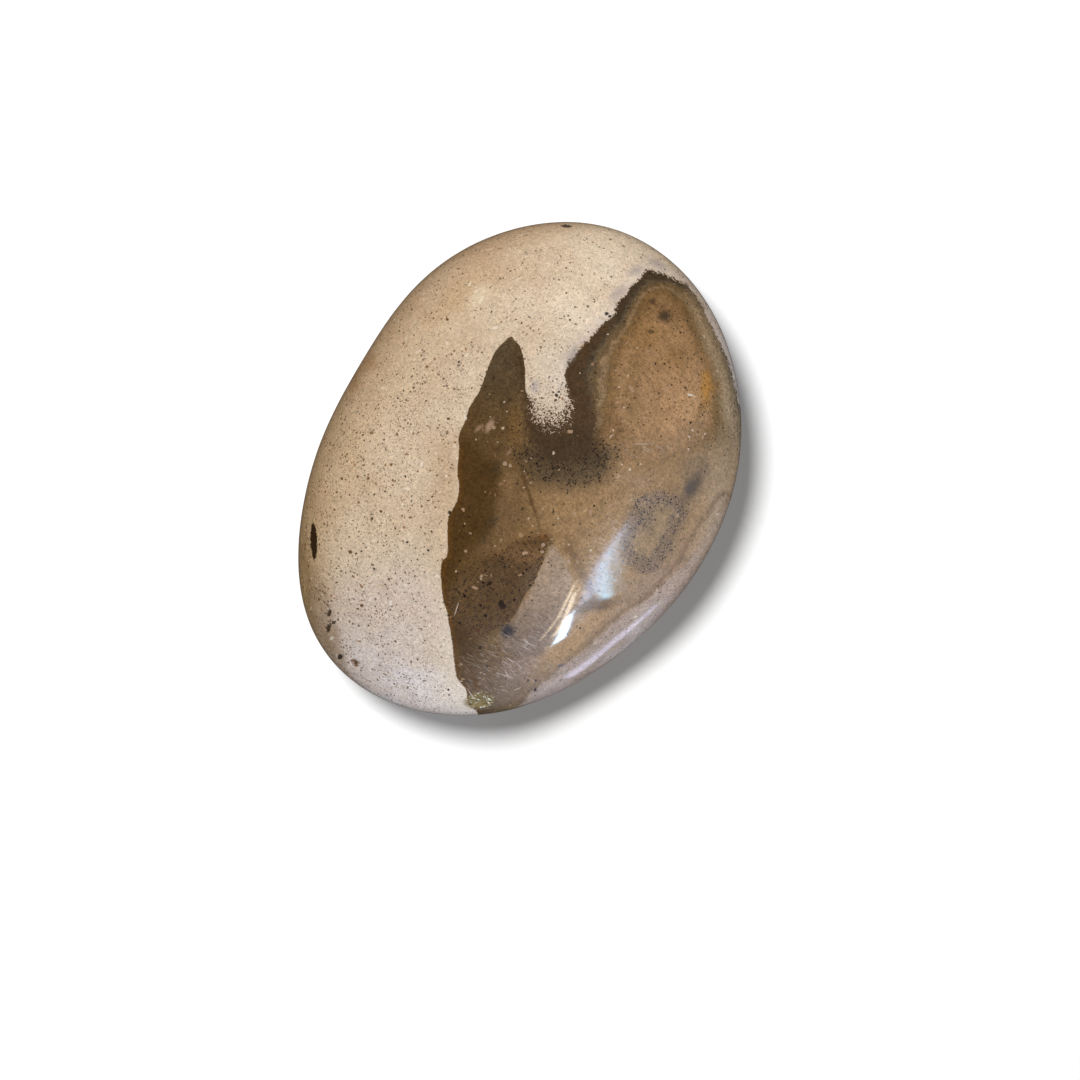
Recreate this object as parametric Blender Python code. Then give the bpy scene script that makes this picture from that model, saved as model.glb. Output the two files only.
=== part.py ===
"""A hand-polished palm stone of butter jasper, modelled as the one solid that it is.

The stone lies on a small flat spot. +Z is up, +Y runs along its long axis, and the origin
is on the ground, under the middle of its bounding box.

The skin follows one rule. A lobed outline and a rounded section make a pebble, and soft
flats that a polishing wheel left are rubbed into it. The rule gives the point of the skin
in any direction from the middle of the stone, so a sphere's points are sent out to it.
"""

from math import atan2, cos, hypot, pi, radians, sin

import bmesh
import bpy
from mathutils import Vector

MM = 0.001

# Overall size of the finished stone.
WIDTH = 48.0 * MM
LENGTH = 64.0 * MM
HEIGHT = 26.0 * MM

# The plan outline at the widest level: a mean radius with a few low lobes. Each lobe is
# (how many times it repeats round the stone, its height, the direction of its first top).
OUTLINE_RADIUS = 27.75 * MM
OUTLINE_LOBES = (
    (1, 0.43 * MM, 153.0),
    (2, 3.92 * MM, 182.0),
    (3, 0.68 * MM, 21.0),
    (4, 0.26 * MM, -36.0),
    (5, 0.15 * MM, 178.0),
)

# The section: a crown above the widest level and a shallower belly below it.
CROWN = 14.5 * MM
BELLY = 12.3 * MM
FULLNESS = 2.25  # 2 is an ellipse, and more is a fuller, squarer section

# The wheel's soft flats. Each is (the direction it faces, its tilt from straight up, its
# distance from the middle of the widest level). A direction is counted from +X to +Y.
WHEEL_FLATS = {
    "crown": (165.0, 5.0, 14.2 * MM),
    "long slope": (-2.0, 40.0, 17.9 * MM),
    "lower bevel": (-24.0, 62.0, 21.9 * MM),
    "near shoulder": (268.0, 38.0, 22.6 * MM),
    "far shoulder": (82.0, 44.0, 24.2 * MM),
}
FLAT_SHARPNESS = 20.0  # how crisply a flat meets the pebble round it

REST_SPOT_DEPTH = 0.35 * MM  # ground off the belly, so that the stone lies still

# Flaws where a flake or a grain broke out of the polish. Each is (its direction, its
# elevation above the widest level, its radius, its depth, how many times the faces round
# it are divided so that they follow it).
FLAWS = {
    "edge chip": (-68.0, 11.0, 1.5 * MM, 0.3 * MM, 2),
    "crystal pit": (-99.3, 8.0, 0.6 * MM, 0.35 * MM, 3),
}
RING_REACH = 1.8  # how far out from a flaw its faces are divided, in its radii

SPHERE_SUBDIVISIONS = 5  # of an icosphere, which gives 5120 faces

STONE_COLOUR = (0.52, 0.38, 0.25, 1.0)
STONE_ROUGHNESS = 0.25


def clear_scene():
    for thing in list(bpy.data.objects):
        bpy.data.objects.remove(thing, do_unlink=True)


def towards(direction, elevation):
    """The unit vector at this direction and elevation, both in degrees."""
    level = cos(radians(elevation))
    return Vector(
        (level * cos(radians(direction)), level * sin(radians(direction)), sin(radians(elevation)))
    )


def outline_radius(angle):
    """Distance from the middle to the plan outline, at an angle in radians."""
    radius = OUTLINE_RADIUS
    for repeats, height, first_top in OUTLINE_LOBES:
        radius += height * cos(repeats * angle - radians(first_top))
    return radius


def on_skin(point):
    """The point of the skin that lies in the same direction from the middle."""
    across = hypot(point.x, point.y) / outline_radius(atan2(point.y, point.x))
    upward = abs(point.z) / (CROWN if point.z > 0 else BELLY)
    pebble = (across**FULLNESS + upward**FULLNESS) ** (1 / FULLNESS)
    total = pebble**FLAT_SHARPNESS
    for direction, tilt, distance in WHEEL_FLATS.values():
        facing = towards(direction, 90 - tilt)
        total += max(0.0, point.dot(facing) / distance) ** FLAT_SHARPNESS
    return point / total ** (1 / FLAT_SHARPNESS)


def divide_round(shape, centre, reach, times):
    """Halves the edges near a point, over and over, so that small faces lie only there."""
    for _ in range(times):
        near = [
            edge
            for edge in shape.edges
            if (edge.verts[0].co + edge.verts[1].co - 2 * centre).length / 2
            < reach + edge.calc_length() / 2
        ]
        bmesh.ops.subdivide_edges(shape, edges=near, cuts=1)
        bmesh.ops.triangulate(shape, faces=[face for face in shape.faces if len(face.verts) > 3])


def sink_flaws(shape, centres):
    """Presses each flaw in along the line to the middle, as a shallow round dish."""
    for name, (_, _, radius, depth, _) in FLAWS.items():
        inward = -centres[name].normalized()
        for vertex in shape.verts:
            spread = (vertex.co - centres[name]).length / radius
            if spread < 1:
                vertex.co += inward * depth * cos(spread * pi / 2)


def grind_rest_spot(shape):
    """Cuts the belly off level and closes the cut with one flat face."""
    everything = shape.verts[:] + shape.edges[:] + shape.faces[:]
    bmesh.ops.bisect_plane(
        shape,
        geom=everything,
        plane_co=(0, 0, REST_SPOT_DEPTH - BELLY),
        plane_no=(0, 0, -1),
        clear_outer=True,
    )
    bmesh.ops.contextual_create(shape, geom=[edge for edge in shape.edges if edge.is_boundary])


def bring_to_size(shape):
    """Stretches the last fraction of a millimetre and puts the origin under the middle."""
    lowest = [min(vertex.co[axis] for vertex in shape.verts) for axis in range(3)]
    highest = [max(vertex.co[axis] for vertex in shape.verts) for axis in range(3)]
    middle = [(low + high) / 2 for low, high in zip(lowest, highest)]
    bmesh.ops.translate(shape, verts=shape.verts, vec=(-middle[0], -middle[1], -lowest[2]))
    spans = [high - low for low, high in zip(lowest, highest)]
    stretch = [size / span for size, span in zip((WIDTH, LENGTH, HEIGHT), spans)]
    bmesh.ops.scale(shape, verts=shape.verts, vec=stretch)


def stone_mesh():
    shape = bmesh.new()
    bmesh.ops.create_icosphere(shape, subdivisions=SPHERE_SUBDIVISIONS, radius=1.0)
    bmesh.ops.scale(shape, verts=shape.verts, vec=(WIDTH / 2, LENGTH / 2, HEIGHT / 2))
    centres = {}
    for vertex in shape.verts:
        vertex.co = on_skin(vertex.co)
    for name, (direction, elevation, radius, _, times) in FLAWS.items():
        centres[name] = on_skin(towards(direction, elevation))
        divide_round(shape, centres[name], RING_REACH * radius, times)
    for vertex in shape.verts:
        vertex.co = on_skin(vertex.co)
    sink_flaws(shape, centres)
    grind_rest_spot(shape)
    bring_to_size(shape)
    bmesh.ops.recalc_face_normals(shape, faces=shape.faces)
    mesh = bpy.data.meshes.new("jasper_stone")
    shape.to_mesh(mesh)
    shape.free()
    mesh.shade_smooth()
    return mesh


def polished_stone():
    material = bpy.data.materials.new("polished butter jasper")
    material.use_nodes = True
    finish = material.node_tree.nodes["Principled BSDF"]
    finish.inputs["Base Color"].default_value = STONE_COLOUR
    finish.inputs["Roughness"].default_value = STONE_ROUGHNESS
    finish.inputs["Metallic"].default_value = 0.0
    return material


def main():
    clear_scene()
    collection = bpy.data.collections.new("Butter jasper palm stone")
    bpy.context.scene.collection.children.link(collection)
    mesh = stone_mesh()
    mesh.materials.append(polished_stone())
    collection.objects.link(bpy.data.objects.new("jasper_stone", mesh))


main()
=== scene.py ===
from math import cos, hypot, pi, radians, sin

import bpy
from mathutils import Matrix, Vector


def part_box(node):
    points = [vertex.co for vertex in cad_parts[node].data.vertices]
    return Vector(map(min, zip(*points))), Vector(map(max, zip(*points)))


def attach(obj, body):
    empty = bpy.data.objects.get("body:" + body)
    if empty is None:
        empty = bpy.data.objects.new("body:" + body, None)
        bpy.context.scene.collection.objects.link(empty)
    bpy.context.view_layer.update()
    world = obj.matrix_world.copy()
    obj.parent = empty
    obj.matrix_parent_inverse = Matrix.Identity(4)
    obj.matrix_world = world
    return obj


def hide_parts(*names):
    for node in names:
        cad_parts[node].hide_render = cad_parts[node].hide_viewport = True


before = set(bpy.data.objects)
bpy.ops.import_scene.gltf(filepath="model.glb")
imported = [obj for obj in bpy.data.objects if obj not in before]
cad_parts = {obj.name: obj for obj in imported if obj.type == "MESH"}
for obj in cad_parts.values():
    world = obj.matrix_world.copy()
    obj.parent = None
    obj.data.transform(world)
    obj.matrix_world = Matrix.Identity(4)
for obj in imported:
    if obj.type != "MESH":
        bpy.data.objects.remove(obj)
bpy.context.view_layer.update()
mm = 0.001
print("Loaded the packed stone")


# Helpers that build nodes. A socket given as a value is linked, and anything else is typed in.

def feed(socket, value):
    if isinstance(value, bpy.types.NodeSocket):
        socket.id_data.links.new(value, socket)
    else:
        socket.default_value = value


def addNode(tree, kind, inputs=None, **options):
    node = tree.nodes.new(kind)
    for option, value in options.items():
        setattr(node, option, value)
    for key, value in (inputs or {}).items():
        feed(node.inputs[key], value)
    return node


def calc(tree, operation, *values, clamp=False):
    node = addNode(tree, "ShaderNodeMath", operation=operation, use_clamp=clamp)
    for socket, value in zip(node.inputs, values):
        feed(socket, value)
    return node.outputs[0]


def vectorCalc(tree, operation, first, second=None):
    node = addNode(tree, "ShaderNodeVectorMath", {0: first}, operation=operation)
    if second is not None:
        feed(node.inputs["Scale" if operation == "SCALE" else 1], second)
    isNumber = operation in ("LENGTH", "DISTANCE", "DOT_PRODUCT")
    return node.outputs["Value" if isNumber else "Vector"]


def turnFlat(tree, vector, angle):
    node = addNode(tree, "ShaderNodeVectorRotate", {"Vector": vector}, rotation_type="Z_AXIS")
    feed(node.inputs["Angle"], angle)
    return node.outputs[0]


def fade(tree, value, start, end, low=0.0, high=1.0):
    # goes smoothly from low to high while the value goes from start to end
    node = addNode(tree, "ShaderNodeMapRange", {"Value": value}, interpolation_type="SMOOTHSTEP")
    for key, number in (("From Min", start), ("From Max", end), ("To Min", low), ("To Max", high)):
        feed(node.inputs[key], number)
    return node.outputs[0]


def blend(tree, amount, under, over):
    node = addNode(tree, "ShaderNodeMix", data_type="RGBA")
    for key, value in ((0, amount), (6, under), (7, over)):
        feed(node.inputs[key], value)
    return node.outputs[2]


def times(tree, *values):
    product = values[0]
    for value in values[1:]:
        product = calc(tree, "MULTIPLY", product, value)
    return product


def largest(tree, *values):
    product = values[0]
    for value in values[1:]:
        product = calc(tree, "MAXIMUM", product, value)
    return product


def sway(tree, value, waves, amount):
    # moves a value to and fro with a noise, which leaves it where the noise is a half
    return calc(tree, "MULTIPLY_ADD", calc(tree, "SUBTRACT", waves, 0.5), amount, value)


def splitVector(tree, vector):
    return addNode(tree, "ShaderNodeSeparateXYZ", {0: vector}).outputs


def joinVector(tree, x=0.0, y=0.0, z=0.0):
    return addNode(tree, "ShaderNodeCombineXYZ", {0: x, 1: y, 2: z}).outputs[0]


def noise(tree, vector, size, seed, detail=2.0, roughness=0.5):
    # size is the length of one wave, in the units of the vector
    moved = vectorCalc(tree, "ADD", vector, (seed * 13.7, seed * -7.3, seed * 5.9))
    scale = calc(tree, "DIVIDE", 1.0, size) if isinstance(size, bpy.types.NodeSocket) else 1 / size
    inputs = {"Vector": moved, "Scale": scale, "Detail": detail, "Roughness": roughness}
    return addNode(tree, "ShaderNodeTexNoise", inputs)


def wobble(tree, *sizes):
    # a noise that pushes a place about, to all sides alike
    return vectorCalc(tree, "SUBTRACT", noise(tree, *sizes).outputs[1], (0.5, 0.5, 0.5))


def named(tree, name, kind):
    return addNode(tree, "GeometryNodeInputNamedAttribute", {"Name": name}, data_type=kind).outputs[0]


def store(tree, geometry, name, kind, value):
    node = addNode(tree, "GeometryNodeStoreNamedAttribute", {0: geometry}, data_type=kind)
    feed(node.inputs["Name"], name)
    feed(node.inputs["Value"], value)
    return node.outputs[0]


def openGroup(name, kind, inputs, outputs):
    # returns the new tree, with its input sockets and its output sockets to work with
    tree = bpy.data.node_groups.new(name, kind)
    for label, (socketKind, value) in inputs.items():
        socket = tree.interface.new_socket(label, in_out="INPUT", socket_type="NodeSocket" + socketKind)
        if value is not None:
            socket.default_value = value
    for label, socketKind in outputs.items():
        tree.interface.new_socket(label, in_out="OUTPUT", socket_type="NodeSocket" + socketKind)
    return tree, tree.nodes.new("NodeGroupInput").outputs, tree.nodes.new("NodeGroupOutput").inputs


def inputsFor(values):
    # an input socket for each of a modifier's values
    kinds = {
        int: "Int", float: "Float", tuple: "Vector", Vector: "Vector",
        bpy.types.Object: "Object", bpy.types.Material: "Material",
    }
    return {name: (kinds[type(value)], None) for name, value in values.items()}


def placeGroup(tree, group, inputs):
    kind = "GeometryNodeGroup" if group.bl_idname == "GeometryNodeTree" else "ShaderNodeGroup"
    node = tree.nodes.new(kind)
    node.node_tree = group
    for key, value in inputs.items():
        feed(node.inputs[key], value)
    return node


def paint(red, green, blue):
    # a colour as a screen shows it, 0 to 255, made into light
    levels = [level / 255 for level in (red, green, blue)]
    light = [x / 12.92 if x <= 0.04045 else ((x + 0.055) / 1.055) ** 2.4 for x in levels]
    return (*light, 1.0)


# The stone's form. It follows the same rule as the solid: a lobed outline and a rounded section
# make a pebble, and soft flats from a polishing wheel are rubbed into it.

stoneForm = {
    "faces": (136, 178, 74),  # of the cube that is blown up into the stone
    "crown": 14.5 * mm,  # above the widest level
    "belly": 12.3 * mm,  # below it
    "fullness": 2.25,
    "outlineRadius": 27.81 * mm,
    "lobes": {  # how often each swell repeats round the stone: its height, and its start in degrees
        1: (0.30 * mm, 163.0),
        2: (3.82 * mm, 182.0),
        3: (0.64 * mm, 22.0),
        4: (0.24 * mm, -36.0),
        5: (0.16 * mm, 175.0),
        6: (0.14 * mm, 136.0),
        7: (0.07 * mm, -24.0),
    },
    "flats": {  # direction it faces, tilt from straight up, distance from the middle
        "Crown": (165.0, 5.0, 14.2 * mm),
        "Long Slope": (-2.0, 40.0, 17.9 * mm),
        "Lower Bevel": (-24.0, 62.0, 21.9 * mm),
        "Near Shoulder": (268.0, 38.0, 22.6 * mm),
        "Far Shoulder": (82.0, 44.0, 24.2 * mm),
    },
    "flatSharpness": 20.0,
    "restSpotDepth": 0.35 * mm,
    "restSpotEdge": 0.2 * mm,  # how softly the rest spot runs into the belly
    "rippleHeight": 0.012 * mm,  # the slight waves that hand polishing leaves
    "rippleLength": 3.2,  # mm
    "rippleStart": (0.05 * mm, 0.8 * mm),  # above the rest spot
    "seed": 3.0,
    "flaws": {  # direction, elevation, radius, depth, how ragged and how stepped it is
        "chip": (-68.0, 11.0, 1.85 * mm, 0.32 * mm, 0.5, 0.6),
        "pit": (-99.3, 8.0, 0.62 * mm, 0.38 * mm, 0.4, 0.5),
    },
}

# The markings are drawn on the level where the stone is widest, as the viewer has it lying in
# front of them: u runs to their right and v away from them, in mm from the stone's middle.

drawingBoard = {
    "turn": 32.56,  # degrees from the stone's X axis to u
    "level": 11.97,  # mm above the rest spot
    "eye": (5.9, -5.3),  # the point of the board that the viewer's eye is straight above, in X and Y
    "eyeHeight": 491.0,  # mm above the board
    "undersideLean": (-0.28, 0.16),  # how the markings wander below the board, in mm per mm
    "undersideDrift": 0.9,  # and by a slow noise, in mm per mm
    "undersideWave": 14.0,  # mm
}

outlines = {
    "brown": [  # the agate-like zone, past the stone's edge where it runs over it
        (-1.5, 17.0), (-3.1, 15.5), (-3.9, 14.0), (-4.7, 11.8), (-5.3, 10.3), (-6.5, 8.3), (-7.0, 6.6),
        (-7.7, 5.1), (-7.7, 3.0), (-7.9, 0.9), (-7.7, -1.3), (-8.0, -3.0), (-9.0, -5.0), (-9.1, -7.3),
        (-9.1, -9.4), (-9.8, -10.4), (-9.9, -12.2), (-9.6, -14.9), (-9.1, -16.5), (-8.9, -17.9),
        (-8.6, -19.5), (-8.4, -21.2), (-8.0, -24.2), (-7.2, -25.3), (-6.8, -25.9), (-6.7, -27.3),
        (-6.2, -28.0), (-5.4, -28.7), (-3.9, -32.5), (14.3, -37.9), (32.4, -19.7), (30.6, 3.3),
        (26.5, 8.4), (26.1, 9.8), (25.7, 11.2), (25.2, 13.2), (24.6, 14.9), (23.6, 17.0), (22.4, 19.3),
        (21.9, 20.7), (20.9, 22.1), (20.0, 23.2), (18.6, 23.9), (17.4, 24.5), (16.0, 24.9), (15.0, 25.1),
        (14.3, 24.1), (13.2, 23.2), (12.6, 22.2), (11.4, 20.9), (11.2, 19.8), (10.2, 19.0), (9.2, 18.0),
        (8.4, 17.0), (7.4, 16.1), (6.0, 14.4), (5.4, 13.5), (5.2, 12.0), (5.5, 10.2), (5.7, 8.5),
        (4.8, 7.6), (4.0, 7.1), (3.1, 7.1), (2.3, 7.4), (1.6, 8.0), (1.2, 9.2), (0.4, 10.4), (0.3, 13.0),
        (0.0, 14.9), (-0.4, 16.0), (-1.0, 16.6),
    ],
    "hook": [  # the darkest band, which runs down one side of the cream bay and up the other
        (-0.8, 15.2), (-0.5, 12.7), (-0.4, 10.1), (0.0, 7.2), (0.6, 4.3), (1.6, 2.6), (2.7, 1.6),
        (5.2, 1.4), (9.0, 2.2), (9.3, 4.4), (9.0, 7.2), (8.2, 10.1), (7.7, 12.4), (8.1, 14.4),
        (8.9, 16.1), (10.4, 18.0), (9.4, 19.6), (4.6, 18.4), (0.9, 17.2),
    ],
    "heart": [  # the orange-tan middle of the far lobe
        (16.0, 22.4), (14.7, 21.6), (13.9, 20.0), (13.2, 18.3), (12.0, 16.3), (11.2, 14.9), (10.7, 13.0),
        (10.6, 9.8), (10.1, 7.6), (9.4, 4.7), (9.3, 1.8), (10.9, -0.4), (14.3, 0.3), (18.1, 1.8),
        (21.5, 3.5), (23.0, 5.7), (23.5, 7.9), (23.8, 9.8), (23.6, 11.8), (23.0, 14.0), (22.0, 15.6),
        (21.3, 17.2), (20.3, 19.3), (19.1, 21.2), (17.6, 22.6),
    ],
    "leaf": [  # the dotted, leaf-shaped patch
        (2.9, -6.8), (0.7, -7.3), (-1.3, -7.9), (-2.8, -9.0), (-4.4, -9.7), (-6.1, -10.8), (-7.9, -12.2),
        (-9.0, -14.7), (-8.2, -17.3), (-5.1, -19.7), (-2.7, -18.3), (-1.1, -17.0), (-0.3, -15.4),
        (0.6, -14.0), (1.4, -12.8), (2.0, -11.3), (2.9, -9.2), (3.4, -7.7),
    ],
    "olive": [  # the greenish-dark strip along the near lobe's left edge
        (-7.8, 4.5), (-6.4, 4.5), (-4.7, 2.7), (-3.1, 0.9), (-2.8, -1.6), (-3.3, -3.9), (-4.0, -6.8),
        (-5.5, -7.9), (-6.8, -9.4), (-7.9, -10.7), (-9.1, -12.5), (-11.2, -10.0), (-10.0, -2.8),
    ],
    "veil": [  # the pale greyish patch right of the leaf: a painted reflection of the window's light in the polish
        (3.5, -8.2), (4.8, -9.6), (5.9, -11.9), (6.1, -14.4), (4.8, -17.3), (2.7, -20.4), (0.7, -21.6),
        (-2.1, -21.0), (-2.7, -18.8), (-1.0, -17.1), (0.7, -14.2), (2.0, -11.4), (2.9, -9.2),
    ],
    "ring": [  # the middle line of a ring of black dots
        (13.8, -4.7), (14.7, -3.0), (16.6, -2.6), (18.5, -2.9), (19.2, -4.2), (18.3, -5.9),
        (17.7, -7.4), (16.8, -9.2), (15.3, -10.8), (13.5, -10.0), (12.7, -8.5), (12.9, -6.5),
    ],
    "bevel": [  # the pinkish-grey band along the near right edge: partly the rock's tone, partly painted sheen of the window's light
        (20.3, -8.2), (19.3, -10.3), (17.6, -12.2), (15.5, -14.4), (13.3, -16.1), (10.6, -18.0),
        (8.2, -20.4), (5.5, -22.4), (3.3, -24.1), (2.1, -25.2), (0.6, -26.7), (-0.3, -30.0),
        (15.5, -31.9), (28.8, -14.9), (25.2, -2.8), (22.7, -4.6),
    ],
}


def drawOutline(name, points):
    curve = bpy.data.curves.new(name, "CURVE")
    spline = curve.splines.new("POLY")
    spline.points.add(len(points) - 1)
    for knot, (u, v) in zip(spline.points, points):
        knot.co = (u, v, 0, 1)
    spline.use_cyclic_u = True
    drawn = bpy.data.objects.new(name, curve)
    bpy.context.scene.collection.objects.link(drawn)
    return drawn


def facing(direction, elevation):
    around, up = radians(direction), radians(elevation)
    return Vector((cos(up) * cos(around), cos(up) * sin(around), sin(up)))


def outlineDistanceGroup():
    # how far a place on the board lies inside an outline, in mm, and less than nothing outside it
    inputs = {"Outline": ("Object", None), "Place": ("Vector", None)}
    tree, given, out = openGroup("outlineDistance", "GeometryNodeTree", inputs, {"Distance": "Float"})
    drawn = addNode(tree, "GeometryNodeObjectInfo", {"Object": given["Outline"]}).outputs["Geometry"]
    smooth = addNode(tree, "GeometryNodeCurveSplineType", {"Curve": drawn}, spline_type="CATMULL_ROM")
    fine = addNode(tree, "GeometryNodeSetSplineResolution", {0: smooth.outputs[0], "Resolution": 4})
    line = addNode(tree, "GeometryNodeCurveToMesh", {"Curve": fine.outputs[0]})
    sheet = addNode(tree, "GeometryNodeFillCurve", {"Curve": fine.outputs[0]})
    flatPlace = vectorCalc(tree, "MULTIPLY", given["Place"], (1, 1, 0))
    near = addNode(tree, "GeometryNodeProximity", {0: line.outputs[0]}, target_element="EDGES")
    feed(near.inputs["Sample Position"], flatPlace)
    above = vectorCalc(tree, "ADD", flatPlace, (0, 0, 1))
    ray = {0: sheet.outputs[0], "Source Position": above, "Ray Direction": (0, 0, -1), "Ray Length": 2.0}
    isInside = addNode(tree, "GeometryNodeRaycast", ray).outputs["Is Hit"]
    sign = calc(tree, "MULTIPLY_ADD", isInside, 2.0, -1.0)
    feed(out["Distance"], calc(tree, "MULTIPLY", near.outputs["Distance"], sign))
    return tree


flawShape = {  # in parts of the flaw's radius
    "dish": (1.0, 0.35),  # where it starts to sink, and where it has its full depth
    "broken": (1.15, 0.8),  # where the polish ends, and where all of it is gone
    "raggedSize": 0.7,
    "stepScale": 1.7,  # how many steps to a radius
}


def flawGroup():
    # a place where a flake or a grain broke out of the polish
    inputs = {
        "Geometry": ("Geometry", None), "Facing": ("Vector", None), "Radius": ("Float", 0.001),
        "Depth": ("Float", 0.0003), "Ragged": ("Float", 0.5), "Stepped": ("Float", 0.5),
        "Seed": ("Float", 0.0), "Name": ("String", ""),
    }
    tree, given, out = openGroup("brokenFlaw", "GeometryNodeTree", inputs, {"Geometry": "Geometry"})
    inward = vectorCalc(tree, "SCALE", given["Facing"], -1.0)
    ray = {0: given["Geometry"], "Source Position": given["Facing"], "Ray Direction": inward}
    centre = addNode(tree, "GeometryNodeRaycast", {**ray, "Ray Length": 2.0}).outputs["Hit Position"]
    position = addNode(tree, "GeometryNodeInputPosition").outputs[0]
    inRadii = vectorCalc(tree, "SUBTRACT", position, centre)
    inRadii = vectorCalc(tree, "SCALE", inRadii, calc(tree, "DIVIDE", 1.0, given["Radius"]))
    seeded = vectorCalc(tree, "ADD", inRadii, joinVector(tree, given["Seed"]))
    ragged = vectorCalc(tree, "SCALE", wobble(tree, seeded, flawShape["raggedSize"], 1), given["Ragged"])
    spread = vectorCalc(tree, "LENGTH", vectorCalc(tree, "ADD", inRadii, ragged))
    cells = addNode(tree, "ShaderNodeTexVoronoi", {"Vector": seeded, "Scale": flawShape["stepScale"]})
    step = splitVector(tree, cells.outputs["Color"])[0]
    even = calc(tree, "SUBTRACT", 1.0, given["Stepped"])
    level = calc(tree, "MULTIPLY_ADD", step, given["Stepped"], even)
    sunk = times(tree, fade(tree, spread, *flawShape["dish"]), level, given["Depth"])
    moved = addNode(tree, "GeometryNodeSetPosition", {0: given["Geometry"]})
    feed(moved.inputs["Offset"], vectorCalc(tree, "SCALE", inward, sunk))
    broken = fade(tree, spread, *flawShape["broken"])
    feed(out["Geometry"], store(tree, moved.outputs[0], given["Name"], "FLOAT", broken))
    return tree


def pebbleSkin(tree, given, position):
    # An even cube is blown up into a ball, so that there are no poles, and then stretched.
    ball = vectorCalc(tree, "TANGENT", vectorCalc(tree, "SCALE", position, pi / 4))
    ball = vectorCalc(tree, "NORMALIZE", ball)
    aim = vectorCalc(tree, "MULTIPLY", ball, vectorCalc(tree, "SCALE", given["Size"], 0.5))
    x, y, z = splitVector(tree, aim)

    # The lobed outline
    angle = calc(tree, "ARCTAN2", y, x)
    reach = given["Outline Radius"]
    for repeats in stoneForm["lobes"]:
        start = calc(tree, "MULTIPLY", given[f"Lobe {repeats} Top"], -1.0)
        swell = calc(tree, "COSINE", calc(tree, "MULTIPLY_ADD", angle, float(repeats), start))
        reach = calc(tree, "MULTIPLY_ADD", swell, given[f"Lobe {repeats} Height"], reach)
    outward = vectorCalc(tree, "LENGTH", vectorCalc(tree, "MULTIPLY", aim, (1, 1, 0)))
    across = calc(tree, "DIVIDE", outward, reach)

    # The rounded section, with the wheel's flats rubbed into it and a flat spot to rest on
    isAbove = calc(tree, "GREATER_THAN", z, 0.0)
    crownMore = calc(tree, "SUBTRACT", given["Crown"], given["Belly"])
    section = calc(tree, "MULTIPLY_ADD", isAbove, crownMore, given["Belly"])
    upward = calc(tree, "DIVIDE", calc(tree, "ABSOLUTE", z), section)
    full = given["Fullness"]
    pebble = calc(tree, "ADD", calc(tree, "POWER", across, full), calc(tree, "POWER", upward, full))
    sharp = given["Flat Sharpness"]
    total = calc(tree, "POWER", pebble, calc(tree, "DIVIDE", sharp, full))
    for flat in stoneForm["flats"]:
        along = vectorCalc(tree, "DOT_PRODUCT", aim, given[flat + " Facing"])
        along = calc(tree, "MAXIMUM", calc(tree, "DIVIDE", along, given[flat + " Distance"]), 0.0)
        total = calc(tree, "ADD", total, calc(tree, "POWER", along, sharp))
    shrink = calc(tree, "POWER", total, calc(tree, "DIVIDE", -1.0, sharp))
    x, y, z = splitVector(tree, vectorCalc(tree, "SCALE", aim, shrink))
    grounded = calc(tree, "SMOOTH_MAX", z, given["Rest Spot Level"], given["Rest Spot Edge"])
    return joinVector(tree, x, y, grounded)


def rippleSkin(tree, given, geometry, position):
    # the polish's ripple, which the rest spot doesn't have
    inMm = vectorCalc(tree, "SCALE", position, 1 / mm)
    wave = noise(tree, inMm, given["Ripple Length"], 1, 1.0).outputs[0]
    height = calc(tree, "SUBTRACT", splitVector(tree, position)[2], given["Rest Spot Level"])
    clear = fade(tree, height, *stoneForm["rippleStart"])
    swell = times(tree, sway(tree, 0.0, wave, given["Ripple Height"]), clear, 2.0)
    normal = addNode(tree, "GeometryNodeInputNormal").outputs[0]
    rippled = addNode(tree, "GeometryNodeSetPosition", {0: geometry})
    feed(rippled.inputs["Offset"], vectorCalc(tree, "SCALE", normal, swell))
    return rippled.outputs[0]


def fitToBox(tree, given, geometry, position):
    # brings the stone to the solid's box, with the origin under its middle
    bounds = addNode(tree, "GeometryNodeBoundBox", {0: geometry}).outputs
    lowest = bounds["Min"]
    middle = vectorCalc(tree, "SCALE", vectorCalc(tree, "ADD", lowest, bounds["Max"]), 0.5)
    x, y, _ = splitVector(tree, middle)
    base = joinVector(tree, x, y, splitVector(tree, lowest)[2])
    stretch = vectorCalc(tree, "DIVIDE", given["Size"], vectorCalc(tree, "SUBTRACT", bounds["Max"], lowest))
    settled = vectorCalc(tree, "MULTIPLY", vectorCalc(tree, "SUBTRACT", position, base), stretch)
    return addNode(tree, "GeometryNodeSetPosition", {0: geometry, "Position": settled}).outputs[0]


def placeOnBoard(tree, given, position):
    # each point's place on the drawing board, and its height above the board
    inMm = vectorCalc(tree, "SCALE", position, 1 / mm)
    raised = calc(tree, "SUBTRACT", splitVector(tree, inMm)[2], given["Board Level"])
    sight = calc(tree, "DIVIDE", given["Eye Height"], calc(tree, "SUBTRACT", given["Eye Height"], raised))
    place = vectorCalc(tree, "SCALE", vectorCalc(tree, "SUBTRACT", inMm, given["Eye"]), sight)
    place = vectorCalc(tree, "ADD", place, given["Eye"])
    place = turnFlat(tree, place, calc(tree, "MULTIPLY", given["Board Turn"], -1.0))
    below = calc(tree, "MAXIMUM", calc(tree, "MULTIPLY", raised, -1.0), 0.0)
    lean = vectorCalc(tree, "SCALE", given["Underside Lean"], below)
    wander = wobble(tree, inMm, drawingBoard["undersideWave"], 2, 1.0)
    wander = vectorCalc(tree, "SCALE", wander, times(tree, given["Underside Drift"], below))
    lean = vectorCalc(tree, "ADD", lean, wander)
    x, y, _ = splitVector(tree, vectorCalc(tree, "ADD", place, lean))
    return joinVector(tree, x, y, raised)


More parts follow.
